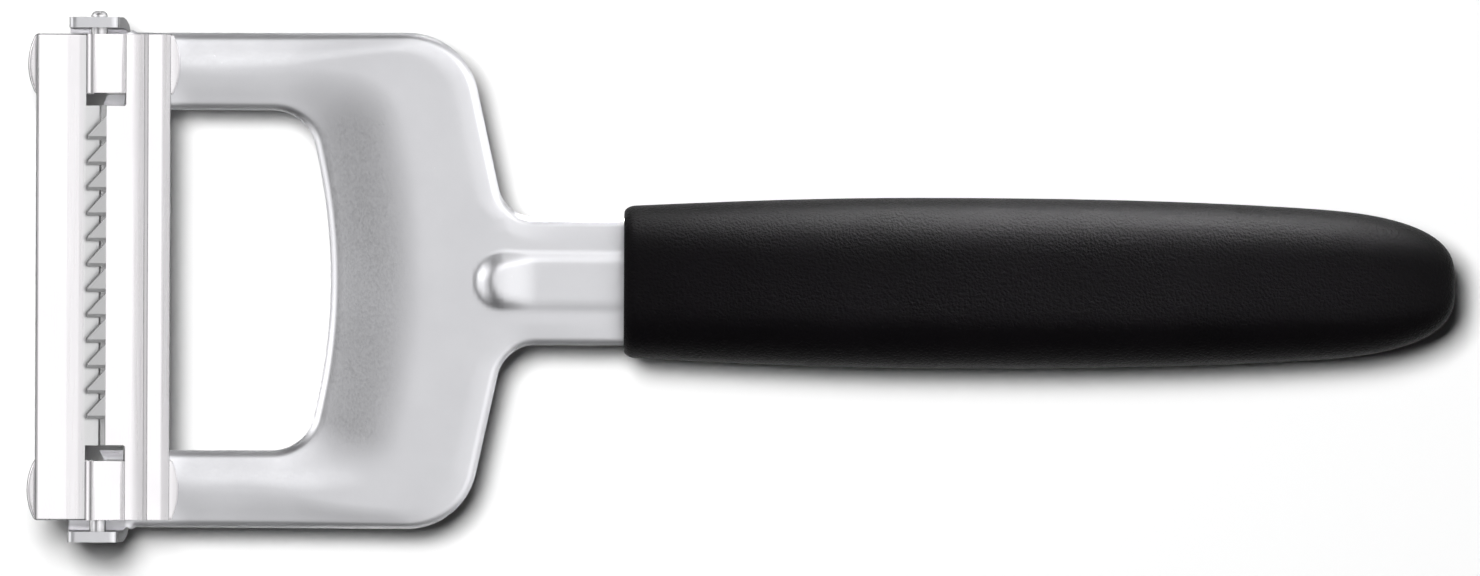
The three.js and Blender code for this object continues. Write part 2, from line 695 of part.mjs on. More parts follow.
const peeler = new THREE.Group();
peeler.add(piece("yoke", geometryOf(yokeSolid()), steel));
peeler.add(piece("handle", geometryOf(handleSolid()), blackPlastic));
peeler.add(head);

// The origin is the middle of the underside.
const box = new THREE.Box3().setFromObject(peeler, true);
const middle = box.getCenter(new THREE.Vector3());
peeler.position.set(-middle.x, -middle.y, -box.min.z);

export default peeler;
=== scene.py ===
# %% [markdown]
# # A julienne peeler, piece by piece
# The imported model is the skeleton: it says where each piece sits and how the blade head swivels. This lesson
# models each piece again with a finer surface, gives it its finish, and sets up the light and the camera.

# %% Load the frame
import json
import math

import bmesh
import bpy
from mathutils import Matrix, Vector


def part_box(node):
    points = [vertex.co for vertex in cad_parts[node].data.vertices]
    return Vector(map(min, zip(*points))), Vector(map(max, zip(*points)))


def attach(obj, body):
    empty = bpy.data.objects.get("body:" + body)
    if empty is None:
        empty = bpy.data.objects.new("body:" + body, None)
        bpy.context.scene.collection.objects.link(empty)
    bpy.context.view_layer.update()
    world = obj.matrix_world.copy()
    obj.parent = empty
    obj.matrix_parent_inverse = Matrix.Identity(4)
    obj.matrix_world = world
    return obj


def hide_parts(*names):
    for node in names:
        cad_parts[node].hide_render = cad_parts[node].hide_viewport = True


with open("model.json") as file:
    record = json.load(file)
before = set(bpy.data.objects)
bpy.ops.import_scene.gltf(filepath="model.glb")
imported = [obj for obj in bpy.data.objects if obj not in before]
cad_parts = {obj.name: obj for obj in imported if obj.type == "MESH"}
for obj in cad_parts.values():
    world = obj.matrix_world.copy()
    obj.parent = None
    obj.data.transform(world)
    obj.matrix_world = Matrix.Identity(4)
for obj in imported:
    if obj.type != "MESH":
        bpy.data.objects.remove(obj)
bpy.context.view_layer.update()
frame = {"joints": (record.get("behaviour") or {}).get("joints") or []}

bpy.ops.object.select_all(action="DESELECT")

# %% [markdown]
# ## The bench
# Small metal work is easier to think about in millimetres and round a handy origin. So every piece is modelled at
# one unit a millimetre, and only then scaled to metres and carried to its place. Two origins are enough: the
# middle of the yoke's sheet under the pivot axis, and the pivot axis itself for the head, which rests tilted.

# %% Two origins and the way from the bench to the tool
MM = 0.001
REST_TILT = 18

pivot = Vector(frame["joints"][0]["pos_m"])
yoke_low, yoke_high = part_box("yoke")
handle_low, handle_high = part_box("handle")
sheet_origin = Vector((pivot.x, (yoke_low.y + yoke_high.y) / 2, (handle_low.z + handle_high.z) / 2))
yoke_place = Matrix.Translation(sheet_origin) @ Matrix.Scale(MM, 4)
head_place = Matrix.Translation(pivot) @ Matrix.Rotation(math.radians(REST_TILT), 4, "Y") @ Matrix.Scale(MM, 4)
pivot_height = (pivot.z - sheet_origin.z) / MM
print(f"the pivot axis is {pivot_height:.2f} mm above the middle of the sheet")

# %% Helpers for work by hand


def take(piece):
    """Makes a piece the only one that is selected, and the active one."""
    bpy.ops.object.select_all(action="DESELECT")
    piece.select_set(True)
    bpy.context.view_layer.objects.active = piece


def edit(piece, kind="VERT"):
    take(piece)
    bpy.ops.object.mode_set(mode="EDIT")
    bpy.ops.mesh.select_mode(type=kind)


def leave_edit():
    bpy.ops.object.mode_set(mode="OBJECT")


def choose(rule):
    """Selects in edit mode just the vertices, edges or faces, as the mode is, that the rule says yes to."""
    mesh = bmesh.from_edit_mesh(bpy.context.object.data)
    vertices, edges, _ = bpy.context.tool_settings.mesh_select_mode
    parts = mesh.verts if vertices else mesh.edges if edges else mesh.faces
    bpy.ops.mesh.select_all(action="DESELECT")
    for part in parts:
        part.select_set(rule(part))
    mesh.select_flush_mode()
    bmesh.update_edit_mesh(bpy.context.object.data)


def middle(part):
    """The middle of an edge or a face."""
    return sum((vertex.co for vertex in part.verts), Vector()) / len(part.verts)


def near(value, target, slack=0.01):
    return abs(value - target) < slack


def shape(piece, rule):
    """Carries every vertex to the place that the rule gives for it."""
    for vertex in piece.data.vertices:
        vertex.co = rule(vertex.co)


def close_seams(piece, distance=0.005):
    edit(piece)
    bpy.ops.mesh.select_all(action="SELECT")
    bpy.ops.mesh.remove_doubles(threshold=distance)
    bpy.ops.mesh.normals_make_consistent(inside=False)
    leave_edit()


def modify(piece, kind, **settings):
    """Adds a modifier with its settings and applies it."""
    take(piece)
    modifier = piece.modifiers.new(kind.title(), kind)
    for name, value in settings.items():
        setattr(modifier, name, value)
    bpy.ops.object.modifier_apply(modifier=modifier.name)


def round_edges(piece, width, segments, angle):
    """Rounds every edge that turns by more than an angle in degrees."""
    modify(piece, "BEVEL", width=width, segments=segments, limit_method="ANGLE", angle_limit=math.radians(angle))


def cut(piece, tool, operation="DIFFERENCE"):
    """Cuts a piece with a tool, or joins the two, and throws the tool away."""
    modify(piece, "BOOLEAN", object=tool, operation=operation, solver="EXACT")
    bpy.data.objects.remove(tool)


def join(piece, others):
    take(piece)
    for other in others:
        other.select_set(True)
    bpy.ops.object.join()


def block(name, low, high):
    """A box between two corners."""
    low, high = Vector(low), Vector(high)
    bpy.ops.mesh.primitive_cube_add(size=1, location=(low + high) / 2, scale=high - low)
    bpy.ops.object.transform_apply()
    bpy.context.object.name = name
    return bpy.context.object


def grid(name, columns, rows, place):
    """A flat grid whose points are carried to place(column, row)."""
    bpy.ops.mesh.primitive_grid_add(x_subdivisions=columns, y_subdivisions=rows, size=1)
    piece = bpy.context.object
    piece.name = name
    shape(piece, lambda at: place(round((at.x + 0.5) * columns), round((at.y + 0.5) * rows)))
    return piece


def finish_piece(piece, place, body, node, smooth=50):
    """Carries a piece from the bench to the tool, hangs it on its body, and hides the imported part that it stands
    for.
    """
    take(piece)
    piece.matrix_world = place
    bpy.ops.object.transform_apply()
    bpy.ops.object.shade_smooth_by_angle(angle=math.radians(smooth))
    modify(piece, "WEIGHTED_NORMAL", keep_sharp=True)
    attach(piece, body)
    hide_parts(node)
    print(f"{piece.name}: {len(piece.data.polygons)} faces")


# %% [markdown]
# ## The yoke
# The yoke is one stamped steel sheet: two arms, a web round a D-shaped opening, a neck with a pressed rib, and a
# tang inside the handle. A sheet is best made as a sheet: a flat grid is laid from the opening's edge to the outer
# edge, pressed, and given its thickness last. The lines of the grid then follow the edges, so the light runs along
# them without a ripple. Half a yoke is enough, because a mirror makes the other half.

# %% Sizes of the sheet
SHEET = 1.4
BEND_RADIUS = 0.6
EAR_FRONT = 3.95
EAR_REAR = 2.65
EAR_ROUND = 0.6
EAR_JOG = 2.45
WING_RUN = 1.3
WING_RISE = 1
ARM_WIDTH = 9.33
TIP_BACK = 0.33
TIP_NOTCH = 1.9
TIP_SLANT = 3.1
TIP_STRAP = 3
OPENING_ROUND = 6.3
BOW_SLOPE = math.radians(12)
BOW_RADIUS = 77
WEB_WIDTH = 17
SHOULDER_ROUND = 8.8
SHOULDER_SLOPE = math.radians(12.3)
NECK_WIDTH = 16.1
NECK_ROUND = 5.4
NECK_LENGTH = 16.3
NECK_INSIDE = 4
TANG_STEP = 2.05
TANG_STOP = 32
TANG_HOLE = 5
HOLE_INSET = 14
TANG_ROUND = 2

ear_outer = (yoke_high.y - yoke_low.y) / 2 / MM
ear_top = (yoke_high.z - sheet_origin.z) / MM
bend_line = ear_outer - SHEET - BEND_RADIUS
bend_middle = BEND_RADIUS + SHEET / 2
bend_length = bend_middle * math.pi / 2
arm_outer = ear_outer - EAR_JOG
arm_inner = arm_outer - ARM_WIDTH
neck_half = NECK_WIDTH / 2
handle_front = (handle_low.x - pivot.x) / MM
handle_length = (handle_high.x - handle_low.x) / MM
neck_x = handle_front - NECK_LENGTH
neck_end = handle_front + NECK_INSIDE
tang_half = neck_half - TANG_STEP
tang_end = handle_front + handle_length - TANG_STOP
shoulder_x = neck_x - (arm_outer - neck_half) * math.tan(SHOULDER_SLOPE)
bow_apex = shoulder_x - WEB_WIDTH
print(f"opening to x {bow_apex:.2f}, shoulder at {shoulder_x:.2f}, handle from {handle_front:.2f} mm")

# %% Edges of the sheet in plan
ROUND_STEPS = 24


def fillet(before, corner, after, radius):
    """Points of the round that runs from one side of a corner to the other."""
    before, corner, after = Vector(before), Vector(corner), Vector(after)
    back, onward = (before - corner).normalized(), (after - corner).normalized()
    half = back.angle(onward) / 2
    centre = corner + (back + onward).normalized() * radius / math.sin(half)
    start = corner + back * radius / math.tan(half) - centre
    end = corner + onward * radius / math.tan(half) - centre
    sweep = start.angle_signed(end)
    return [centre + Matrix.Rotation(-sweep * i / ROUND_STEPS, 2) @ start for i in range(ROUND_STEPS + 1)]


def walk(points, count):
    """Points at equal steps along a line through the given points."""
    points = [Vector(point) for point in points]
    lengths = [(b - a).length for a, b in zip(points, points[1:])]
    step = sum(lengths) / count
    found = [points[0]]
    for i in range(1, count):
        left = step * i
        leg = 0
        while left > lengths[leg]:
            left -= lengths[leg]
            leg += 1
        found.append(points[leg].lerp(points[leg + 1], left / lengths[leg]))
    return found + [points[-1]]


bow_corner = bow_apex - BOW_RADIUS + BOW_RADIUS / math.cos(BOW_SLOPE)
opening_corner = (bow_corner - arm_inner * math.tan(BOW_SLOPE), arm_inner)
other_corner = (opening_corner[0], -arm_inner)
corner_round = fillet((0, arm_inner), opening_corner, (bow_corner, 0), OPENING_ROUND)
bow = fillet(opening_corner, (bow_corner, 0), other_corner, BOW_RADIUS)[: ROUND_STEPS // 2 + 1]
shoulder_round = fillet((0, arm_outer), (shoulder_x, arm_outer), (neck_x, neck_half), SHOULDER_ROUND)
neck_round = fillet((shoulder_x, arm_outer), (neck_x, neck_half), (neck_end, neck_half), NECK_ROUND)
seam = neck_round[ROUND_STEPS // 2]
print(f"the web meets the neck at x {seam.x:.2f}, {2 * seam.y:.2f} mm wide")

# %% Lines across the sheet, from the opening's edge to the outer edge
EAR_COLUMNS = 12
WING_COLUMNS = 5
ARM_COLUMNS = 22
CORNER_COLUMNS = 30
WEB_COLUMNS = 26
TANG_COLUMNS = 15
INNER_ROWS = 36
RIM_RUN = 0.75
RIM_STEPS = 5
ARM_END = 27

wing_foot = EAR_REAR + WING_RUN
ear_xs = [point.x for point in walk([(-EAR_FRONT, 0), (EAR_REAR, 0)], EAR_COLUMNS)]
ear_xs += [point.x for point in walk([(EAR_REAR, 0), (wing_foot, 0)], WING_COLUMNS)][1:]
tang_shares = [i / TANG_COLUMNS * tang_half / neck_half for i in range(TANG_COLUMNS)]
rim_rows = [RIM_RUN * i / RIM_STEPS for i in range(RIM_STEPS + 1)]
neck_shares = [1 - row / neck_half for row in rim_rows + [TANG_STEP]] + tang_shares[::-1]
bow_split = min(range(len(bow)), key=lambda i: abs(bow[i].y - neck_half))
end_columns = len(neck_shares) - 1

inner_edge = [Vector((x, arm_inner)) for x in ear_xs]
inner_edge += walk([inner_edge[-1], corner_round[0]], ARM_COLUMNS)[1:]
inner_edge += walk(corner_round, CORNER_COLUMNS)[1:]
inner_edge += walk([corner_round[-1], *bow[: bow_split + 1]], WEB_COLUMNS)[1:]
inner_edge += walk(bow[bow_split:], end_columns)[1:]
outer_edge = [Vector((x, bend_line)) for x in ear_xs]
jog = (wing_foot + bend_line - arm_outer, arm_outer)
outer_edge += walk([outer_edge[-1], jog, (ARM_END, arm_outer)], ARM_COLUMNS)[1:]
outer_edge += walk([(ARM_END, arm_outer), *shoulder_round], CORNER_COLUMNS)[1:]
outer_edge += walk([shoulder_round[-1], *neck_round[: ROUND_STEPS // 2 + 1]], WEB_COLUMNS)[1:]
outer_edge += [Vector((seam.x, share * seam.y)) for share in neck_shares][1:]
print(f"{len(inner_edge)} lines across half of the sheet")

# %% [markdown]
# ### How the sheet is pressed
# A press tool gives the sheet its stiffness: the arms are arched across, the web rolls down towards the opening,
# and a rib runs along the neck into the handle. Each of these is a small height that is added to the flat sheet.
# A cosine gives the roll its soft start, and it is steepest a little way in from the edge, as on the real tool.

# %% Heights of the pressed forms
ARM_DROP = 0.6
ARM_FADE = (5, 12)
BOW_DROP = 1.05
BOW_REACH = 12
WEB_DROP = 0.12
WEB_REACH = 3
WEB_LEAD = 1 / 3
ROLL_LEAD = 0.25
RIB_LENGTH = 19.8
RIB_INSIDE = 6
RIB_FOOT = 8
RIB_WALL = 1.4
RIB_SOFT = 0.2
RIB_HEIGHT = 0.26
NOSE_WALL = 2.1
NOSE_HEIGHT = 0.86
NOSE_FALL = 6
NOSE_SIDE = 2.2
RIM_SLOPE = 0.95


def ease(value, start, end):
    share = min(1, max(0, (value - start) / (end - start)))
    return share * share * (3 - 2 * share)


def roll(distance, reach):
    """One at the edge, falling to nothing at the reach, and steepest in between."""
    share = min(1, distance / reach)
    return (1 + math.cos(math.pi * (share + ROLL_LEAD) / (1 + ROLL_LEAD))) / (
        1 + math.cos(math.pi * ROLL_LEAD / (1 + ROLL_LEAD))
    )


def rim(distance):
    """How far the edge itself is rolled down: nothing at the end of its run, and steepest at the very edge."""
    return RIM_SLOPE / 2 * RIM_RUN * max(0, 1 - distance / RIM_RUN) ** 2


def ramp(share):
    """A straight slope from nothing to one, with a soft foot and a soft top."""
    share = min(1, max(0, share))
    if share < RIB_SOFT:
        return share**2 / RIB_SOFT / 2 / (1 - RIB_SOFT)
    if share > 1 - RIB_SOFT:
        return 1 - (1 - share) ** 2 / RIB_SOFT / 2 / (1 - RIB_SOFT)
    return (share - RIB_SOFT / 2) / (1 - RIB_SOFT)


def rib(x, y):
    """Height of the rib: it stands highest and falls off steepest at its round nose."""
    nose = handle_front - RIB_LENGTH
    start = nose + RIB_FOOT / 2
    end = handle_front + RIB_INSIDE - RIB_FOOT / 2
    past_end = x - min(end, max(start, x))
    beside = math.hypot(past_end, y)
    ahead = (past_end / beside) ** 2 if beside else 0
    fallen = ease(x, nose + NOSE_WALL, nose + NOSE_WALL + NOSE_FALL)
    side_wall = NOSE_SIDE + (RIB_WALL - NOSE_SIDE) * fallen
    wall = side_wall + (NOSE_WALL - side_wall) * ahead
    height = NOSE_HEIGHT + (RIB_HEIGHT - NOSE_HEIGHT) * fallen
    return height * ramp((RIB_FOOT / 2 - beside) / wall)


def pressed(column, x, y, from_inner, from_outer):
    """Height of the sheet's middle at a place, which lies so far from the edges on its line across the sheet."""
    arm_columns = EAR_COLUMNS + WING_COLUMNS + ARM_COLUMNS
    web = ease(column, arm_columns - ARM_COLUMNS * WEB_LEAD, arm_columns + CORNER_COLUMNS)
    strength = ease(x, *ARM_FADE)
    half = ARM_WIDTH / 2
    inner = (ARM_DROP + (BOW_DROP - ARM_DROP) * web) * roll(from_inner, half + (BOW_REACH - half) * web)
    outer = (ARM_DROP + (WEB_DROP - ARM_DROP) * web) * roll(from_outer, half + (WEB_REACH - half) * web)
    return rib(x, y) - strength * (inner + outer) - rim(from_inner) - rim(from_outer)


print(f"rib {NOSE_HEIGHT} mm high at its nose and {RIB_HEIGHT} mm along the neck")

# %% Half of the sheet, from the arm's tip to the neck


def rounded_corner(at, centre, radius, way):
    """Carries the square corner beyond a centre, on the side that way points to, on to a round of that radius."""
    out = Vector((max(0, (at.x - centre[0]) * way[0]), max(0, (at.y - centre[1]) * way[1]))) / radius
    if min(out) == 0:
        return at
    out *= max(out) / out.length * radius
    return Vector((centre[0] + out.x * way[0], centre[1] + out.y * way[1]))


def sheet_point(column, row):
    start, end = inner_edge[column], outer_edge[column]
    length = (end - start).length
    inner = [RIM_RUN + (length - 2 * RIM_RUN) * i / INNER_ROWS for i in range(1, INNER_ROWS)]
    along = [*rim_rows, *inner, *[length - across for across in rim_rows[::-1]]][row]
    at = start.lerp(end, along / length)
    from_outer = length - along
    past = column - (len(inner_edge) - 1 - end_columns)
    if past > 0:
        from_outer += seam.y * (1 - neck_shares[past])
    if column < EAR_COLUMNS + WING_COLUMNS:
        from_outer += bend_length
    return Vector((*at, pressed(column, at.x, at.y, along, from_outer)))


yoke = grid("yoke_sheet", len(inner_edge) - 1, INNER_ROWS + 2 * RIM_STEPS, sheet_point)
print(f"the bow lies {-min(vertex.co.z for vertex in yoke.data.vertices):.2f} mm lower than the flat")

# %% Neck and tang
NECK_STEPS = 40
TANG_STEPS = 30

neck_rows = neck_shares[::-1]
neck_edge = walk([*neck_round[ROUND_STEPS // 2 :], (neck_end, neck_half)], NECK_STEPS)


def neck_point(column, row):
    edge = neck_edge[column]
    y = neck_rows[row] * edge.y
    faded = WEB_DROP * (1 - ease(edge.x, seam.x, handle_front)) * roll(edge.y - y, WEB_REACH)
    return Vector((edge.x, y, rib(edge.x, y) - faded - rim(edge.y - y)))


def tang_point(column, row):
    x = neck_end + (tang_end - neck_end) * column / TANG_STEPS
    at = Vector((x, tang_half * row / TANG_COLUMNS))
    at = rounded_corner(at, (tang_end - TANG_ROUND, tang_half - TANG_ROUND), TANG_ROUND, (1, 1))
    return Vector((*at, rib(at.x, at.y)))


neck = grid("neck", NECK_STEPS, len(neck_rows) - 1, neck_point)
tang = grid("tang", TANG_STEPS, TANG_COLUMNS, tang_point)
print(f"neck of {2 * neck_half:.1f} mm, tang of {2 * tang_half:.1f} mm to x {tang_end:.1f}")

# %% [markdown]
# ### The ears
# At the tip of each arm the sheet turns up into an ear that holds a pivot pin. The ear is a strip that first
# follows the bend and then stands upright. Behind it a low wing brings the bend back down to the arm's edge. The
# inner corner of the tip is cut off at a slant, so that the head has room when it swings down. Holes and cuts come
# after the thickness, so that their walls stand straight.

# %% Ear and wing
BEND_ROWS = 6
WING_ROWS = 8
EAR_ROWS = 17

wing_length = bend_length + WING_RISE
ear_length = bend_length + ear_top - bend_middle


def turned_up(x, length):
    """A point of the strip at x, at a length along it from the bend line."""
    turn = min(length, bend_length) / bend_middle
    y = bend_line + bend_middle * math.sin(turn)
    return Vector((x, y, bend_middle * (1 - math.cos(turn)) + max(0, length - bend_length)))


def ear_length_at(row):
    if row <= BEND_ROWS:
        return bend_length * row / BEND_ROWS
    if row <= WING_ROWS:
        return bend_length + WING_RISE * (row - BEND_ROWS) / (WING_ROWS - BEND_ROWS)
    return wing_length + (ear_length - wing_length) * (row - WING_ROWS) / (EAR_ROWS - WING_ROWS)


def ear_point(column, row):
    at = turned_up(ear_xs[column], ear_length_at(row))
    for x, way in [(EAR_ROUND - EAR_FRONT, -1), (EAR_REAR - EAR_ROUND, 1)]:
        at.x, at.z = rounded_corner(at.xz, (x, ear_top - EAR_ROUND), EAR_ROUND, (way, 1))
    return at


def wing_point(column, row):
    return turned_up(ear_xs[EAR_COLUMNS + column], ear_length_at(row) * (1 - column / WING_COLUMNS))


ear = grid("ear", EAR_COLUMNS, EAR_ROWS, ear_point)
wing = grid("wing", WING_COLUMNS, WING_ROWS, wing_point)
join(yoke, [neck, tang, ear, wing])
close_seams(yoke)
print(f"ear {ear_top:.2f} mm above the middle of the sheet")

# %% The other half, the thickness and the holes
RIM_ROUND = 0.12
PIN_RADIUS = 1.1
RUN_GAP = 0.1
HOLE_SIDES = 48
MIRROR_MERGE = 0.002
CLEAR = 1


def rod(radius, place, length, turn=(0, 0, 0)):
    """A round bar that serves as a drill."""
    bpy.ops.mesh.primitive_cylinder_add(
        vertices=HOLE_SIDES, radius=radius, depth=length, location=place, rotation=turn
    )
    bpy.ops.object.transform_apply()
    return bpy.context.object


def tip_cutter(side):
    """A four-sided bar that takes the slanted corner off the tip of an arm."""
    lean = (TIP_NOTCH - TIP_BACK) / TIP_SLANT
    back = (bend_line - TIP_STRAP - arm_inner - TIP_SLANT) / (TIP_NOTCH + EAR_FRONT)
    tool = block("tip_tool", (-EAR_FRONT - CLEAR, -CLEAR, -SHEET), (TIP_NOTCH, TIP_SLANT, SHEET))

    def corner(at):
        x = at.x if at.y > 0 or at.x < 0 else TIP_BACK - lean * CLEAR
        y = at.y if at.y < 0 or at.x > 0 else TIP_SLANT + back * (TIP_NOTCH + EAR_FRONT + CLEAR)
        return Vector((x, side * (arm_inner + y), at.z))

    shape(tool, corner)
    close_seams(tool)
    return tool


modify(yoke, "MIRROR", use_axis=(False, True, False), merge_threshold=MIRROR_MERGE)
modify(yoke, "SOLIDIFY", thickness=SHEET, offset=0, use_even_offset=True)
close_seams(yoke)
round_edges(yoke, RIM_ROUND, segments=3, angle=55)
across_turn = (math.pi / 2, 0, 0)
for side in (1, -1):
    ear_hole = (0, side * (ear_outer - SHEET / 2), pivot_height)
    cut(yoke, rod(PIN_RADIUS + RUN_GAP, ear_hole, 2 * SHEET, across_turn))
    cut(yoke, tip_cutter(side))
for x in (neck_end + HOLE_INSET, tang_end - HOLE_INSET):
    cut(yoke, rod(TANG_HOLE / 2, (x, 0, 0), 2 * SHEET))
close_seams(yoke)
finish_piece(yoke, yoke_place, "frame", "yoke")

# %% [markdown]
# ## The handle
# The handle is moulded in black plastic over the tang. It swells from the front to its widest place, draws in
# again and ends in a blunt round nose. Each cross-section is a soft oblong with a flat strip on the belly, so the
# skin can be laid as rings, from the front edge to the nose, on a grid that is rolled up into a tube.

# %% Sizes of the handle
HANDLE_COLLAR = 2.05
HANDLE_SWELL = 1.25
WIDEST_AT = 41
HANDLE_TAPER = 1.15
TAPER_EASE = 2.5
NOSE_LENGTH = 21
NOSE_FULLNESS = 3.1
SIDE_FULLNESS = 2.4
FLAT_WIDTH = 6
FRONT_ROUND = 0.9
FRONT_RUN = 1.5
FIT_GAP = 0.2

handle_half = (handle_high.z - handle_low.z) / 2 / MM
front_side = neck_half + HANDLE_COLLAR
nose_start = handle_length - NOSE_LENGTH


def handle_side(along):
    """Half of the width at a place along the handle."""
    if along < WIDEST_AT:
        return front_side + HANDLE_SWELL * math.sin(math.pi / 2 * along / WIDEST_AT)
    share = (along - WIDEST_AT) / (nose_start - WIDEST_AT)
    return front_side + HANDLE_SWELL - HANDLE_TAPER * share**TAPER_EASE


print(f"handle {2 * handle_side(WIDEST_AT):.1f} mm wide, {2 * handle_half:.1f} mm thick")

# %% Rings of the handle's skin
QUARTER_STEPS = 20
FLAT_STEPS = 4
ROUND_RINGS = 6
BODY_RINGS = 30
NOSE_RINGS = 24


def quarter_share(step):
    """How far across and how far up a point of the round side lies."""
    angle = math.pi / 2 * step / QUARTER_STEPS
    return math.cos(angle) ** (2 / SIDE_FULLNESS), math.sin(angle) ** (2 / SIDE_FULLNESS)


quarters = [quarter_share(i) for i in range(QUARTER_STEPS)] + [(0, 1)]
half_ring = [(1, across, up) for across, up in quarters]
half_ring += [(1 - 2 * i / FLAT_STEPS, 0, 1) for i in range(1, FLAT_STEPS)]
half_ring += [(-1, -across, up) for across, up in quarters[::-1]]
ring = half_ring[:-1] + [(-flat, -across, -up) for flat, across, up in half_ring]

stations = []
for i in range(ROUND_RINGS):
    angle = math.pi / 2 * i / ROUND_RINGS
    stations.append((FRONT_RUN * (1 - math.cos(angle)), FRONT_ROUND * (1 - math.sin(angle)), 1))
for i in range(BODY_RINGS + 1):
    stations.append((FRONT_RUN + (nose_start - FRONT_RUN) * i / BODY_RINGS, 0, 1))
for i in range(1, NOSE_RINGS + 1):
    share = math.sin(math.pi / 2 * i / NOSE_RINGS)
    stations.append((nose_start + NOSE_LENGTH * share, 0, (1 - share**NOSE_FULLNESS) ** (1 / NOSE_FULLNESS)))


def handle_point(column, row):
    flat, across, up = ring[row]
    along, inset, nose = stations[column]
    side = handle_side(min(along, handle_length))
    swell = side - front_side - HANDLE_SWELL
    height = handle_half + (swell if up > 0 else 0)
    flat_half = FLAT_WIDTH / 2 * nose
    y = flat * flat_half + across * (side * nose - inset - flat_half)
    return Vector((handle_front + along, y, up * (height * nose - inset)))


handle = grid("handle_grip", len(stations) - 1, len(ring) - 1, handle_point)
close_seams(handle)
edit(handle, "EDGE")
choose(lambda e: e.is_boundary)
bpy.ops.mesh.edge_face_add()
bpy.ops.mesh.select_all(action="SELECT")
bpy.ops.mesh.normals_make_consistent(inside=False)
leave_edit()
print(f"{len(stations)} rings of {len(ring) - 1} points")

# %% Slot for the neck and the tang
SLOT_ROWS = 60
SLOT_RUN = 8


def slot_point(column, row):
    y = (neck_half + FIT_GAP) * (2 * row / SLOT_ROWS - 1)
    return Vector((handle_front - CLEAR + column * (SLOT_RUN + CLEAR), y, rib(handle_front, y)))


slot_tool = grid("slot_tool", 1, SLOT_ROWS, slot_point)
modify(slot_tool, "SOLIDIFY", thickness=SHEET + 2 * FIT_GAP, offset=0, use_even_offset=True)
close_seams(slot_tool)
cut(handle, slot_tool)
slot_high = SHEET / 2 + FIT_GAP
slot_side = tang_half + FIT_GAP
tang_tool = block("tang_tool", (neck_end, -slot_side, -slot_high), (tang_end + FIT_GAP, slot_side, slot_high))
cut(handle, tang_tool)
finish_piece(handle, yoke_place, "frame", "handle")

# %% [markdown]
# ## The knife strip
# The knife is a flat strip with its cutting edge on the side of the slot. Two bevels are ground on it: a shallow one
# and a steeper one that runs out to the edge. Between the crowns the strip has a tongue, so that the edge lies under
# the teeth. A box of the strip's size is cut along the lines where the bevels start, the tongue is drawn out of its
# side, and the top is then lowered along the bevels. The outer long edge is rounded, as it comes off the rolls.

# %% Places in the head, from the pivot axis
SEAT_GAP = 0.1
SADDLE_PLATE = 0.8
CROWN_LENGTH = 7.85
CROWN_WIDTH = 4.07
CROWN_ROOF = 0.8
CROWN_WALL = 0.9
CROWN_FRONT_SLOPE = 0.9
CROWN_REAR_SLOPE = 0.25
STRIP_THICK = 0.8
KNIFE_WIDTH = 6.87
KNIFE_TONGUE = 1.96
SLOT_WIDTH = 0.77
GUIDE_WIDTH = 6.41
RIGHT_WINDOW = 1.7
LEFT_WINDOW = 2.1

knife_low, knife_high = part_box("knife_strip")
head_half = (knife_high.y - knife_low.y) / 2 / MM
slot_right = head_half - CROWN_LENGTH - RIGHT_WINDOW
slot_left = CROWN_LENGTH + LEFT_WINDOW - head_half
strip_low = SADDLE_PLATE + SEAT_GAP
strip_top = strip_low + STRIP_THICK
crown_foot = -(PIN_RADIUS + SEAT_GAP + CROWN_WALL)
crown_front = crown_foot + CROWN_FRONT_SLOPE
crown_rear = crown_front + CROWN_WIDTH
crown_top = PIN_RADIUS + SEAT_GAP + CROWN_ROOF
knife_inner = crown_foot - SEAT_GAP
knife_outer = knife_inner - KNIFE_WIDTH
cutting_edge = knife_inner + KNIFE_TONGUE
guide_inner = crown_rear + CROWN_REAR_SLOPE + SEAT_GAP
guide_outer = guide_inner + GUIDE_WIDTH
lip_top = cutting_edge + SLOT_WIDTH
print(f"head {2 * head_half:.1f} mm long, slot {slot_right - slot_left:.1f} mm")

# %% Knife strip
EDGE_LAND = 0.05
HONE_RUN = 2.95
HONE_HEIGHT = 0.62
GRIND_RUN = 1.75
STRIP_ROUND = 0.3
STRIP_ARRIS = 0.06
STRIP_END = 0.25
GRIND_SOFT = 0.12


def bisect(place, normal):
    """Cuts a line all round the mesh that is being edited."""
    bpy.ops.mesh.select_all(action="SELECT")
    bpy.ops.mesh.bisect(plane_co=place, plane_no=normal)


def move_chosen(rule, offset):
    choose(rule)
    bpy.ops.transform.translate(value=offset)


def bevel_chosen(rule, width, segments=4):
    bpy.ops.mesh.select_mode(type="EDGE")
    choose(rule)
    bpy.ops.mesh.bevel(offset=width, segments=segments, affect="EDGES")
    bpy.ops.mesh.select_mode(type="VERT")


def upright(e):
    return near(e.verts[0].co.x, e.verts[1].co.x) and near(e.verts[0].co.y, e.verts[1].co.y)


def extrude_chosen(rule, offset):
    bpy.ops.mesh.select_mode(type="FACE")
    choose(rule)
    bpy.ops.mesh.extrude_region_move(TRANSFORM_OT_translate={"value": offset})
    bpy.ops.mesh.select_mode(type="VERT")


def draw_tongue(side_x, tongue_x):
    """Draws the side of a strip out between the crowns, as far as the tongue reaches."""
    for y in (slot_right, slot_left):
        bisect((0, y, 0), (0, 1, 0))
    extrude_chosen(
        lambda f: near(middle(f).x, side_x) and slot_left < middle(f).y < slot_right, (tongue_x - side_x, 0, 0)
    )


def lower_top(piece, drop):
    """Lowers the top of a strip by the drop that is given for each x."""
    leave_edit()
    shape(piece, lambda at: at - Vector((0, 0, drop(at.x))) if near(at.z, strip_top) else at)
    edit(piece)


hone_line = cutting_edge - HONE_RUN
grind_line = hone_line - GRIND_RUN


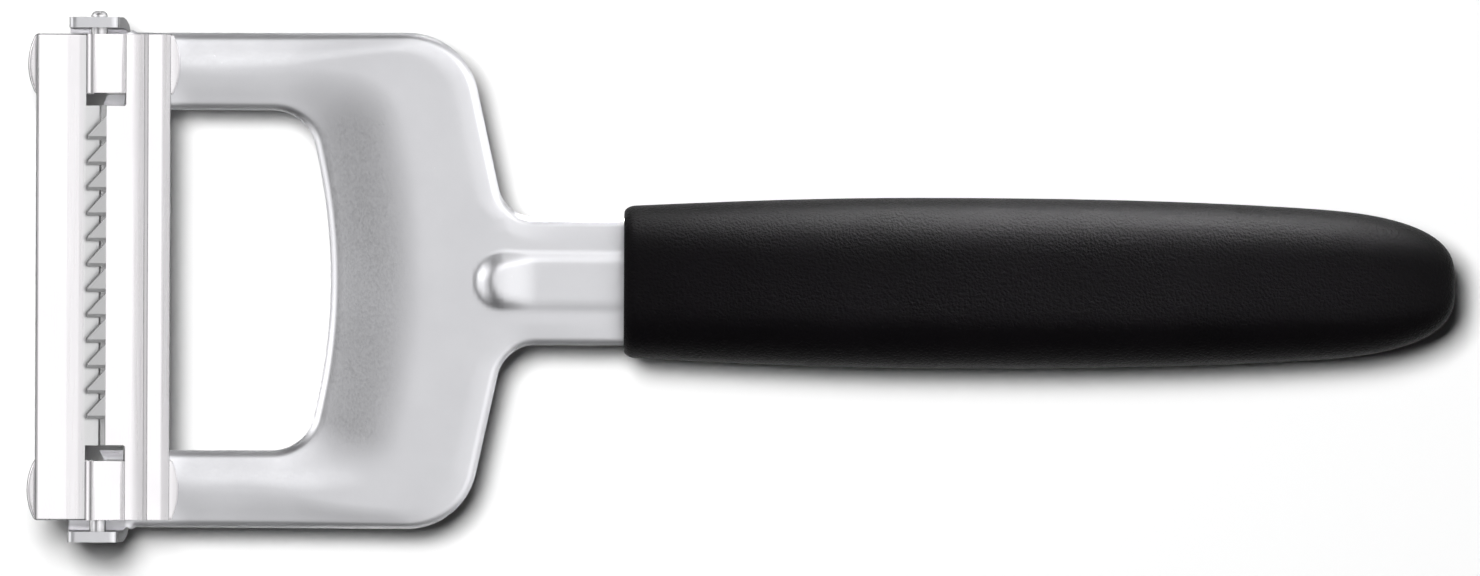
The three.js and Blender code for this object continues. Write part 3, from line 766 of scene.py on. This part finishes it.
def ground_away(x):
    if x < hone_line:
        return (STRIP_THICK - HONE_HEIGHT) * max(0, x - grind_line) / GRIND_RUN
    return STRIP_THICK - HONE_HEIGHT + (HONE_HEIGHT - EDGE_LAND) * (x - hone_line) / HONE_RUN


def polished_away(x):
    """The ground bevels with soft lines between them, as polishing leaves them."""
    before, after = ground_away(x - GRIND_SOFT), ground_away(x + GRIND_SOFT)
    return (before + 2 * ground_away(x) + after) / 4


def along_outer(e):
    """The two long edges of the knife's outer side."""
    return near(middle(e).x, knife_outer) and near(e.verts[0].co.z, e.verts[1].co.z)


def on_end(e):
    """The upper edges round the knife's ends, without the lines that the bevels draw across them."""
    across = upright(e) and knife_outer + GRIND_SOFT < middle(e).x < knife_inner - GRIND_SOFT
    return near(abs(middle(e).y), head_half) and middle(e).z > strip_low + EDGE_LAND and not across


knife = block("knife", (knife_outer, -head_half, strip_low), (knife_inner, head_half, strip_top))
edit(knife)
for line in (hone_line, grind_line):
    for step in (-GRIND_SOFT, 0, GRIND_SOFT):
        bisect((line + step, 0, 0), (1, 0, 0))
draw_tongue(knife_inner, cutting_edge)
lower_top(knife, polished_away)
bevel_chosen(along_outer, STRIP_ROUND)
bevel_chosen(on_end, STRIP_END)
leave_edit()
finish_piece(knife, head_place, "head", "knife_strip")

# %% [markdown]
# ## The toothed guide
# The guide lies on the other side of the slot. It has a pressed groove, an outer edge that falls away, and a lip that
# slopes down into the slot. A row of slitting teeth rises from the lip and stands over the knife: each one is a flat
# with a slanted side, and under its straight side a fin comes down to the knife. The groove falls slowly and rises
# fast, so the top is cut along many lines that are then lowered. One tooth is modelled and copied along the lip.

# %% Guide strip
LIP_RUN = 0.5
GROOVE_START = 3.9
GROOVE_LOW = 5.75
GROOVE_END = 6.4
GROOVE_DEPTH = 0.4
GROOVE_LINES = 10
HEM_RUN = 1.35
HEM_DROP = 0.5
HEM_SOFT = 0.2
TONGUE_ROUND = 0.3

hem_line = guide_outer - HEM_RUN


def pressed_away(x):
    if x > hem_line:
        return HEM_DROP * (x - hem_line) / HEM_RUN
    if x > GROOVE_LOW:
        return GROOVE_DEPTH * (1 - ease(x, GROOVE_LOW, GROOVE_END))
    return GROOVE_DEPTH * max(0, (x - GROOVE_START) / (GROOVE_LOW - GROOVE_START)) ** 2


guide = block("guide", (guide_inner, -head_half, strip_low), (guide_outer, head_half, strip_top))
edit(guide)
draw_tongue(guide_inner, lip_top)
move_chosen(lambda v: near(v.co.x, lip_top) and near(v.co.z, strip_low), (-LIP_RUN, 0, 0))
for i in range(GROOVE_LINES + 1):
    bisect((GROOVE_START + (GROOVE_LOW - GROOVE_START) * i / GROOVE_LINES, 0, 0), (1, 0, 0))
for i in range(1, GROOVE_LINES + 1):
    bisect((GROOVE_LOW + (GROOVE_END - GROOVE_LOW) * i / GROOVE_LINES, 0, 0), (1, 0, 0))
bisect((hem_line, 0, 0), (1, 0, 0))
lower_top(guide, pressed_away)
for y in (slot_right, slot_left):
    bevel_chosen(lambda e: upright(e) and near(middle(e).y, y) and near(middle(e).x, guide_inner), TONGUE_ROUND)
bevel_chosen(lambda e: near(middle(e).x, hem_line) and near(middle(e).z, strip_top), HEM_SOFT)
bevel_chosen(lambda e: near(middle(e).x, guide_outer) and near(middle(e).z, strip_top - HEM_DROP), STRIP_END)
leave_edit()
round_edges(guide, STRIP_ARRIS, segments=2, angle=40)
print(f"guide from x {lip_top - LIP_RUN:.2f} to {guide_outer:.2f} mm")

# %% One tooth, and its copies along the lip
TOOTH_PITCH = 3.38
TOOTH_ROOT = 3.2
TOOTH_TIP = 0.6
TOOTH_REACH = 1.8
TOOTH_RISE = 0.3
TOOTH_PLATE = 0.4
TOOTH_GAP = 0.15
FIN_THICK = 0.45
FIN_DROP = 0.25
FIRST_TOOTH = 1.3
LAST_TOOTH = 1.3
TOOTH_ARRIS = 0.04
GUIDE_SMOOTH = 20

tip = cutting_edge - TOOTH_REACH
tip_low = strip_top - ground_away(tip) + TOOTH_GAP
lip_low = strip_low + EDGE_LAND + TOOTH_GAP
plate_low = strip_top - TOOTH_PLATE
tooth = block("tooth", (tip, 0, plate_low), (lip_top, TOOTH_ROOT, strip_top))
edit(tooth)
bisect((0, FIN_THICK, 0), (0, 1, 0))
move_chosen(lambda v: near(v.co.x, tip), (0, 0, TOOTH_RISE))
move_chosen(lambda v: near(v.co.x, tip) and near(v.co.y, TOOTH_ROOT), (0, TOOTH_TIP - TOOTH_ROOT, 0))
extrude_chosen(lambda f: f.normal.z < -0.5 and middle(f).y < FIN_THICK, (0, 0, lip_low - plate_low))
fin_low = lip_low + TOOTH_RISE
move_chosen(lambda v: near(v.co.x, tip) and near(v.co.z, fin_low), (0, 0, tip_low - fin_low))
for x, top in ((lip_top, strip_top), (tip, strip_top + TOOTH_RISE)):
    move_chosen(lambda v: near(v.co.x, x) and near(v.co.y, 0) and near(v.co.z, top), (0, 0, -FIN_DROP))
leave_edit()
close_seams(tooth)
round_edges(tooth, TOOTH_ARRIS, segments=2, angle=30)

count = int((slot_right - slot_left - FIRST_TOOTH - LAST_TOOTH) / TOOTH_PITCH)
teeth = [tooth]
for i in range(1, count):
    take(tooth)
    bpy.ops.object.duplicate()
    teeth.append(bpy.context.object)
for i, copy in enumerate(teeth):
    copy.location.y = slot_right - FIRST_TOOTH - TOOTH_ROOT - TOOTH_PITCH * i
join(tooth, teeth[1:])
bpy.ops.object.transform_apply()
cut(guide, tooth, "UNION")
finish_piece(guide, head_place, "head", "toothed_guide", smooth=GUIDE_SMOOTH)
print(f"{count} teeth")

# %% [markdown]
# ## The saddles
# A saddle at each end of the head carries both strips and the pivot pin. It is a plate with a round lobe at either
# end, whose rims curl down a little, and with a raised crown between the strips that the pin lies in. The plate is
# a grid between the two round ends. The crown is a box drawn in at the top, and it is joined on and drilled.

# %% One saddle for either end
SADDLE_APRON = 0.2
LOBE_RADIUS = 8.4
LOBE_FRONT = 0.83
LOBE_REAR = 1.47
LOBE_CURL = 0.25
CURL_RUN = 2.2
SADDLE_ROUND = 0.3
CROWN_ROUND = 0.5
CROWN_FALL = 0.6
CROWN_ARRIS = 0.15
CROWN_BULGE = 0.25
WELD_GAP = 0.02
SADDLE_COLUMNS = 44
SADDLE_ROWS = 24

lobe_front = knife_outer - LOBE_FRONT
lobe_rear = guide_outer + LOBE_REAR


def make_saddle(name, side, node):
    """A saddle at the end of the head that side points to."""
    reach = CROWN_LENGTH + SADDLE_APRON
    centre = side * (head_half - reach / 2)

    def plate_point(column, row):
        beside = reach * (row / SADDLE_ROWS - 0.5)
        bulge = LOBE_RADIUS - math.sqrt(LOBE_RADIUS**2 - beside**2)
        x = lobe_front + bulge + (lobe_rear - lobe_front - 2 * bulge) * column / SADDLE_COLUMNS
        out = max(0, lobe_front + CURL_RUN - x, x - lobe_rear + CURL_RUN) / CURL_RUN
        return Vector((x, centre + beside, SADDLE_PLATE / 2 - LOBE_CURL * out**2))

    saddle = grid(name, SADDLE_COLUMNS, SADDLE_ROWS, plate_point)
    modify(saddle, "SOLIDIFY", thickness=SADDLE_PLATE, offset=0)
    close_seams(saddle)
    round_edges(saddle, SADDLE_ROUND, segments=3, angle=50)
    ends = sorted((side * (head_half - CROWN_LENGTH), side * head_half))
    low = (knife_inner + WELD_GAP, ends[0], SADDLE_PLATE / 2)
    crown = block("crown", low, (guide_inner - WELD_GAP, ends[1], crown_top))
    edit(crown)
    for z in (strip_top - ground_away(knife_inner), strip_top):
        bisect((0, 0, z), (0, 0, 1))
    edge = crown_front - CROWN_BULGE
    slope = edge - low[0]
    share = (crown_top - strip_top) / (crown_top - strip_top + ground_away(knife_inner))
    move_chosen(lambda v: near(v.co.z, crown_top) and v.co.x < crown_front, (slope, 0, 0))
    move_chosen(lambda v: near(v.co.z, strip_top) and v.co.x < crown_front, (slope * (1 - share), 0, 0))
    move_chosen(lambda v: near(v.co.z, crown_top) and v.co.x > crown_rear, (-CROWN_FALL, 0, 0))
    bevel_chosen(lambda e: near(middle(e).z, crown_top) and near(middle(e).x, edge), CROWN_ROUND)
    beyond = crown_front + CROWN_ROUND
    bevel_chosen(lambda e: near(middle(e).z, crown_top) and middle(e).x > beyond, CROWN_ARRIS, segments=3)
    leave_edit()
    cut(saddle, crown, "UNION")
    cut(saddle, rod(PIN_RADIUS + SEAT_GAP, (0, centre, 0), 2 * reach, across_turn))
    finish_piece(saddle, head_place, "head", node)


make_saddle("saddle_right", 1, "right_saddle")
make_saddle("saddle_left", -1, "left_saddle")

# %% [markdown]
# ## The pivot pins
# Each pin is a short turned bar with a domed outer end, which shows outside the ear, and a chamfered inner end.
# A cylinder gives the bar, and a bevel with many segments rounds its outer edge into the dome.

# %% Two pins
PIN_DOME = 0.75
PIN_CHAMFER = 0.3
PIN_INSET = 0.6
PIN_PROUD = 0.45


def make_pin(name, side, node):
    inner = head_half - CROWN_LENGTH + PIN_INSET
    outer = ear_outer + PIN_PROUD
    pin = rod(PIN_RADIUS, (0, side * (inner + outer) / 2, 0), outer - inner, across_turn)
    pin.name = name
    edit(pin)
    bevel_chosen(lambda e: all(near(v.co.y, side * outer) for v in e.verts), PIN_DOME, segments=8)
    bevel_chosen(lambda e: all(near(v.co.y, side * inner) for v in e.verts), PIN_CHAMFER, segments=2)
    leave_edit()
    finish_piece(pin, head_place, "head", node)


make_pin("pin_right", 1, "right_pivot_pin")
make_pin("pin_left", -1, "left_pivot_pin")

# %% [markdown]
# ## Finishes
# Steel is a mirror broken up by very fine marks, so its look comes from the roughness and from the marks themselves.
# Polish reaches the flats only: where the sheet was sheared its edges stay duller, and their dark colour is also
# painted shade, a dark line drawn round every outline and on every steep face. The toothed lip between the strips
# stays as it was stamped, and the darker grey of its teeth is partly painted shade; the knife's tongue stays as it
# was ground. Hands and washing leave faint smudges on everything. The marks, the smudges and the darkened steep edges
# are small node groups that the materials share, each with its own values.

# %% Helpers for node work


def put(value, socket):
    """Links an output to a socket, or writes a plain value on it."""
    if isinstance(value, bpy.types.NodeSocket):
        socket.id_data.links.new(value, socket)
    else:
        socket.default_value = value


def node(tree, kind, **values):
    """A node with its properties and its inputs set by name."""
    made = tree.nodes.new("ShaderNode" + kind)
    for name, value in values.items():
        if hasattr(made, name):
            setattr(made, name, value)
        else:
            put(value, made.inputs[name.replace("_", " ")])
    return made


def noise(tree, at, scale, detail):
    return node(tree, "TexNoise", Vector=at, Scale=scale, Detail=detail).outputs["Fac"]


def new_group(name, inputs, output):
    """A shader group with its ends: inputs maps the name of a float to its value, and output names the result."""
    group = bpy.data.node_groups.new(name, "ShaderNodeTree")
    for socket, value in inputs.items():
        made = group.interface.new_socket(name=socket, in_out="INPUT", socket_type="NodeSocketFloat")
        made.default_value = value
    group.interface.new_socket(name=output, in_out="OUTPUT", socket_type="NodeSocketFloat")
    return group, group.nodes.new("NodeGroupInput").outputs, group.nodes.new("NodeGroupOutput").inputs


# %% Group: marks drawn out along one axis
MARK_SCALE = 1500
MARK_DETAIL = 3


def marks_group(name, stretch):
    """Fine lines, long along the axis where stretch is small. Scale is in lines a metre."""
    group, start, end = new_group(name, {"Scale": MARK_SCALE}, "Marks")
    drawn = node(group, "Mapping", Vector=node(group, "TexCoord").outputs["Object"], Scale=stretch)
    put(noise(group, drawn.outputs["Vector"], start["Scale"], MARK_DETAIL), end["Marks"])
    return group


blade_lines = marks_group("polish_lines_along_blade", stretch=(1, 0.02, 1))
satin_grain = marks_group("satin_grain", stretch=(1, 0.6, 1))
print("marks:", blade_lines.name, satin_grain.name)

# %% Group: smudges from hands and washing
SMUDGE_SCALE = 90
SMUDGE_DETAIL = 4

smudges, start, end = new_group("smudges", {"Scale": SMUDGE_SCALE}, "Smudge")
put(noise(smudges, node(smudges, "TexCoord").outputs["Object"], start["Scale"], SMUDGE_DETAIL), end["Smudge"])

# %% Group: sheared edges and painted shade on steep faces


def calculate(tree, operation, *values, kind="Math", result="Value"):
    """The result of a math node."""
    made = node(tree, kind, operation=operation)
    for value, socket in zip(values, made.inputs):
        put(value, socket)
    return made.outputs[result]


def remap(tree, value, before, after):
    """Carries a value from one range to another, and no further than its ends."""
    ends = zip(("From_Min", "From_Max", "To_Min", "To_Max"), (*before, *after))
    return node(tree, "MapRange", clamp=True, Value=value, **dict(ends)).outputs["Result"]


# Darkens faces that stand steep to the blade's lean: sheared steel is duller there, and the dark is also painted
# shade, a dark line along every outline.
sheared_edges_with_painted_shade, start, end = new_group("sheared_edges_with_painted_shade", {"Lean": 0, "Start": 0.88, "Full": 0.6}, "Edge")
facing = node(sheared_edges_with_painted_shade, "SeparateXYZ", Vector=node(sheared_edges_with_painted_shade, "TexCoord").outputs["Normal"]).outputs
lean_x = calculate(sheared_edges_with_painted_shade, "SINE", start["Lean"])
lean_z = calculate(sheared_edges_with_painted_shade, "COSINE", start["Lean"])
along_x = calculate(sheared_edges_with_painted_shade, "MULTIPLY", facing["X"], lean_x)
along_z = calculate(sheared_edges_with_painted_shade, "MULTIPLY", facing["Z"], lean_z)
flatness = calculate(sheared_edges_with_painted_shade, "ABSOLUTE", calculate(sheared_edges_with_painted_shade, "ADD", along_x, along_z))
put(remap(sheared_edges_with_painted_shade, flatness, (start["Full"], start["Start"]), (1, 0)), end["Edge"])
print("groups:", [group.name for group in bpy.data.node_groups])

# %% Material maker
NOISE_RANGE = (0.3, 0.7)


def new_material(name):
    """A material with its tree and the sockets of its shader."""
    material = bpy.data.materials.new(name)
    material.use_nodes = True
    tree = material.node_tree
    return material, tree, tree.nodes["Principled BSDF"].inputs


def use_group(tree, group, **values):
    """The result of a group."""
    return node(tree, "Group", node_tree=group, **values).outputs[0]


def colour_between(tree, share, first, second):
    """Mixes two colours; each one is a colour of three parts or an output to be linked."""
    made = node(tree, "Mix", data_type="RGBA", Factor=share)
    sockets = [socket for socket in made.inputs if socket.type == "RGBA"]
    for colour, socket in zip((first, second), sockets):
        put((*colour, 1) if isinstance(colour, tuple) else colour, socket)
    return next(socket for socket in made.outputs if socket.type == "RGBA")


def bump(tree, height, strength, distance):
    return node(tree, "Bump", Strength=strength, Distance=distance, Height=height).outputs["Normal"]


# %% Steels
# Dark colour of steep faces: duller sheared steel, and painted shade that draws a dark outline.
SHEARED_AND_PAINTED_SHADE = (0.25, 0.25, 0.255)
# Grey of the stamped lip and its teeth; on the teeth it is partly painted shade.
STAMPED_AND_PAINTED_SHADE = (0.6, 0.6, 0.605)
GROUND = (0.84, 0.84, 0.845)
SHEARED_ROUGH = 0.5
STAMPED_ROUGH = 0.55
SMUDGE_ROUGH = 0.05
POLISH_BUMP = 0.12
POLISH_DEPTH = 0.00003
LIP_SOFT = 0.1
TONGUE_SOFT = 0.5
SATIN = (satin_grain, 4200, ((0.88, 0.88, 0.91), (0.94, 0.94, 0.97)), (0.32, 0.4))
POLISHED = (blade_lines, 3000, ((0.9, 0.88, 0.9), (0.96, 0.94, 0.96)), (0.27, 0.37))
TURNED = (blade_lines, 2500, ((0.88, 0.87, 0.89), (0.94, 0.93, 0.95)), (0.3, 0.4))


def steel(name, polish, **edges):
    """A steel by its polish: marks, their scale, smudged and clean colour, roughness. Edges says which steep faces
    are darkened, as duller sheared steel and as painted shade.
    """
    lines, scale, colours, rough = polish
    material, tree, shader = new_material(name)
    put(1, shader["Metallic"])
    marks = use_group(tree, lines, Scale=scale)
    clean = remap(tree, use_group(tree, smudges), NOISE_RANGE, (0, 1))
    # How far a face is darkened: as sheared steel, and as painted shade on steep faces.
    edge = use_group(tree, sheared_edges_with_painted_shade, **edges)
    polished = colour_between(tree, clean, *colours)
    # Steep faces take the dark colour: duller sheared steel, and painted shade along the outlines.
    put(colour_between(tree, edge, polished, SHEARED_AND_PAINTED_SHADE), shader["Base Color"])
    marked = remap(tree, marks, NOISE_RANGE, rough)
    smudged = calculate(tree, "SUBTRACT", marked, calculate(tree, "MULTIPLY", clean, SMUDGE_ROUGH))
    worn = calculate(tree, "MAXIMUM", smudged, calculate(tree, "MULTIPLY", edge, SHEARED_ROUGH))
    put(worn, shader["Roughness"])
    put(bump(tree, marks, POLISH_BUMP, POLISH_DEPTH), shader["Normal"])
    return material


def leave_dull(material, polished_at, dull_at, colour):
    """Leaves part of a strip unpolished in the given colour: the polish stops between two lines along the blade."""
    tree = material.node_tree
    shader = tree.nodes["Principled BSDF"].inputs
    place = node(tree, "TexCoord").outputs["Object"]
    from_pivot = calculate(tree, "SUBTRACT", place, pivot, kind="VectorMath", result="Vector")
    lean = head_place.to_3x3().col[0].normalized()
    across = calculate(tree, "DOT_PRODUCT", from_pivot, lean, kind="VectorMath")
    # The share that is left unpolished; on the toothed lip its darker grey is partly painted shade on the teeth.
    stamped = remap(tree, across, (polished_at * MM, dull_at * MM), (0, 1))
    polished = shader["Base Color"].links[0].from_socket
    put(colour_between(tree, stamped, polished, colour), shader["Base Color"])
    smooth = shader["Roughness"].links[0].from_socket
    put(calculate(tree, "MAXIMUM", smooth, calculate(tree, "MULTIPLY", stamped, STAMPED_ROUGH)), shader["Roughness"])


head_lean = math.radians(REST_TILT)
# Start and Full say how steep a face is where its painted edge shade begins and where it is full.
satin_steel = steel("satin_steel_sheet", SATIN, Start=0.8, Full=0.5)
saddle_steel = steel("polished_blade", POLISHED, Lean=head_lean, Start=0.6, Full=0.35)
knife_steel = steel("polished_knife", POLISHED, Lean=head_lean)
leave_dull(knife_steel, knife_inner - TONGUE_SOFT, knife_inner, GROUND)
guide_steel = steel("polished_guide", POLISHED, Lean=head_lean)
# The lip and its teeth stay as stamped, and their darker grey is partly painted shade on the teeth.
leave_dull(guide_steel, lip_top, lip_top - LIP_SOFT, STAMPED_AND_PAINTED_SHADE)
pin_steel = steel("turned_pin", TURNED, Start=0.75, Full=0.4)
print("steels:", [metal.name for metal in (satin_steel, saddle_steel, knife_steel, guide_steel, pin_steel)])

# %% Black plastic with a moulded grain
BLACKS = ((0.001, 0.0008, 0.0011), (0.002, 0.0016, 0.0022))
GRAIN_SCALE = 2800
GRAIN_DETAIL = 3
GRAIN_BUMP = 0.8
GRAIN_DEPTH = 0.0002
GRAIN_ROUGH = (0.46, 0.6)
HANDLED_SCALE = 60
PLASTIC_SHINE = 0.06

black_plastic, tree, shader = new_material("grained_black_plastic")
grain = noise(tree, node(tree, "TexCoord").outputs["Object"], GRAIN_SCALE, GRAIN_DETAIL)
handled = remap(tree, use_group(tree, smudges, Scale=HANDLED_SCALE), NOISE_RANGE, (0, 1))
put(colour_between(tree, handled, *BLACKS), shader["Base Color"])
put(remap(tree, grain, NOISE_RANGE, GRAIN_ROUGH), shader["Roughness"])
put(bump(tree, grain, GRAIN_BUMP, GRAIN_DEPTH), shader["Normal"])
put(PLASTIC_SHINE, shader["Specular IOR Level"])

finishes = {
    "yoke_sheet": satin_steel,
    "handle_grip": black_plastic,
    "knife": knife_steel,
    "guide": guide_steel,
    "saddle_right": saddle_steel,
    "saddle_left": saddle_steel,
    "pin_right": pin_steel,
    "pin_left": pin_steel,
}
for name, material in finishes.items():
    piece = bpy.data.objects[name]
    piece.data.materials.clear()
    piece.data.materials.append(material)
print("finishes:", {name: material.name for name, material in finishes.items()})

# %% [markdown]
# ## Floor, light and camera
# The tool lies on a plain white table under soft studio light. The table is white to the camera and in the mirror of
# the metal, but hands on less light than it shows, so that the shadow under the tool stays deep. The steel gets its
# tones from the room: a room that is only white would make it flat, so dark and bright bands lie across it, and the
# bends of the sheet pick them up. A large lamp above and to the left gives the shadow, a weak and wide one fills it,
# and a small one beyond the far side draws the long highlight on the handle. The camera looks straight down from far
# off, so that nothing leans.

# %% Floor
FLOOR_SIDE = 6
FLOOR_WHITE = (0.96, 0.96, 0.96)
FLOOR_SHADE = (0.3, 0.3, 0.3)
FIRST_BOUNCE = 0.5

bpy.ops.mesh.primitive_plane_add(size=FLOOR_SIDE, location=(0, 0, 0))
floor = bpy.context.object
floor.name = "floor"
white, tree, shader = new_material("white_table")
ray = node(tree, "LightPath").outputs
seen = calculate(tree, "MAXIMUM", ray["Is Camera Ray"], ray["Is Glossy Ray"])
seen = calculate(tree, "MAXIMUM", seen, ray["Is Transmission Ray"])
seen = calculate(tree, "MULTIPLY", seen, calculate(tree, "LESS_THAN", ray["Diffuse Depth"], FIRST_BOUNCE))
put(colour_between(tree, seen, FLOOR_SHADE, FLOOR_WHITE), shader["Base Color"])
put(1, shader["Roughness"])
put(0, shader["Specular IOR Level"])
floor.data.materials.append(white)
print(f"floor of {FLOOR_SIDE} m")

# %% Room light
ROOM = 0.8
ROOM_MOST = 2
ACROSS_ROOM = [
    (-1, 0.4), (-0.87, 1.6), (-0.7, 1.1), (-0.55, 0.6), (-0.38, 0.1), (-0.2, 0.17), (-0.06, 0.85), (0.08, 0.94),
    (0.25, 0.97), (0.4, 1.25), (0.6, 1.4), (0.74, 1.05), (0.85, 0.83), (0.98, 0.83), (1, 0.7),
]
ALONG_ROOM = [
    (-1, 0.2), (-0.75, 0.25), (-0.5, 0.8), (-0.28, 1.1), (-0.1, 0.95), (0, 0.82), (0.1, 1.3), (0.18, 1.95),
    (0.32, 2), (0.45, 1.3), (0.7, 0.4), (1, 0.4),
]

world = bpy.data.worlds.new("studio")
bpy.context.scene.world = world
world.use_nodes = True
tree = world.node_tree
background = tree.nodes["Background"].inputs
put((1, 1, 1, 1), background["Color"])
direction = node(tree, "SeparateXYZ", Vector=node(tree, "TexCoord").outputs["Generated"]).outputs


def brightness(axis, stops):
    """Brightness by one part of the direction, through stops of (part from -1 to 1, brightness)."""
    bands = node(tree, "ValToRGB", Fac=remap(tree, direction[axis], (-1, 1), (0, 1)))
    bands.color_ramp.interpolation = "EASE"
    for part, _ in stops[1:-1]:
        bands.color_ramp.elements.new((part + 1) / 2)
    for element, (_, value) in zip(bands.color_ramp.elements, stops):
        element.color = (*[value / ROOM_MOST] * 3, 1)
    return calculate(tree, "MULTIPLY", bands.outputs["Color"], ROOM_MOST)


both = calculate(tree, "MULTIPLY", brightness("X", ACROSS_ROOM), brightness("Y", ALONG_ROOM))
level = calculate(tree, "MULTIPLY", both, ROOM)
to_camera = node(tree, "LightPath").outputs["Is Camera Ray"]
put(calculate(tree, "MAXIMUM", level, to_camera), background["Strength"])
world.cycles_visibility.diffuse = False
print(f"room light through {len(ACROSS_ROOM)} stops across the blade and {len(ALONG_ROOM)} along it")

# %% Lamps
OVERHEAD = {"place": (-0.23, 0.26, 1.2), "size": (0.45, 0.45), "power": 18}
WIDE_FILL = {"place": (0, 0, 1.6), "size": (5, 5), "power": 1.5}
FAR_STRIP = {"place": (0.05, 0.3, 0.08), "size": (0.1, 0.08), "power": 0.25, "aim": (0.05, 0, 0.01)}
FAR_SPREAD = math.radians(20)


def lamp(name, place, size, power, aim=(0, 0, 0)):
    data = bpy.data.lights.new(name, "AREA")
    data.shape = "RECTANGLE"
    data.size, data.size_y = size
    data.energy = power
    light = bpy.data.objects.new(name, data)
    bpy.context.scene.collection.objects.link(light)
    light.location = place
    light.rotation_euler = (Vector(aim) - Vector(place)).to_track_quat("-Z", "Y").to_euler()
    print(f"{name}: {power} W")
    return light


lamp("overhead_light", **OVERHEAD).visible_glossy = False
lamp("wide_fill", **WIDE_FILL).visible_glossy = False
far_strip = lamp("far_strip", **FAR_STRIP)
far_strip.data.spread = FAR_SPREAD
far_strip.visible_diffuse = False

# %% Camera
FRAME_WIDTH = 0.1973
FRAME_CENTRE = (-0.00027, -0.00112)
FRAME_HEIGHT = 0.008
CAMERA_ABOVE = 3
CAMERA_ROLL = math.radians(0.23)

camera_data = bpy.data.cameras.new("camera")
camera_data.lens = camera_data.sensor_width * CAMERA_ABOVE / FRAME_WIDTH
camera = bpy.data.objects.new("camera", camera_data)
bpy.context.scene.collection.objects.link(camera)
camera.location = (*FRAME_CENTRE, FRAME_HEIGHT + CAMERA_ABOVE)
camera.rotation_euler = (0, 0, CAMERA_ROLL)
bpy.context.scene.camera = camera
bpy.context.scene.view_settings.view_transform = "Standard"
print(f"lens {camera_data.lens:.0f} mm")
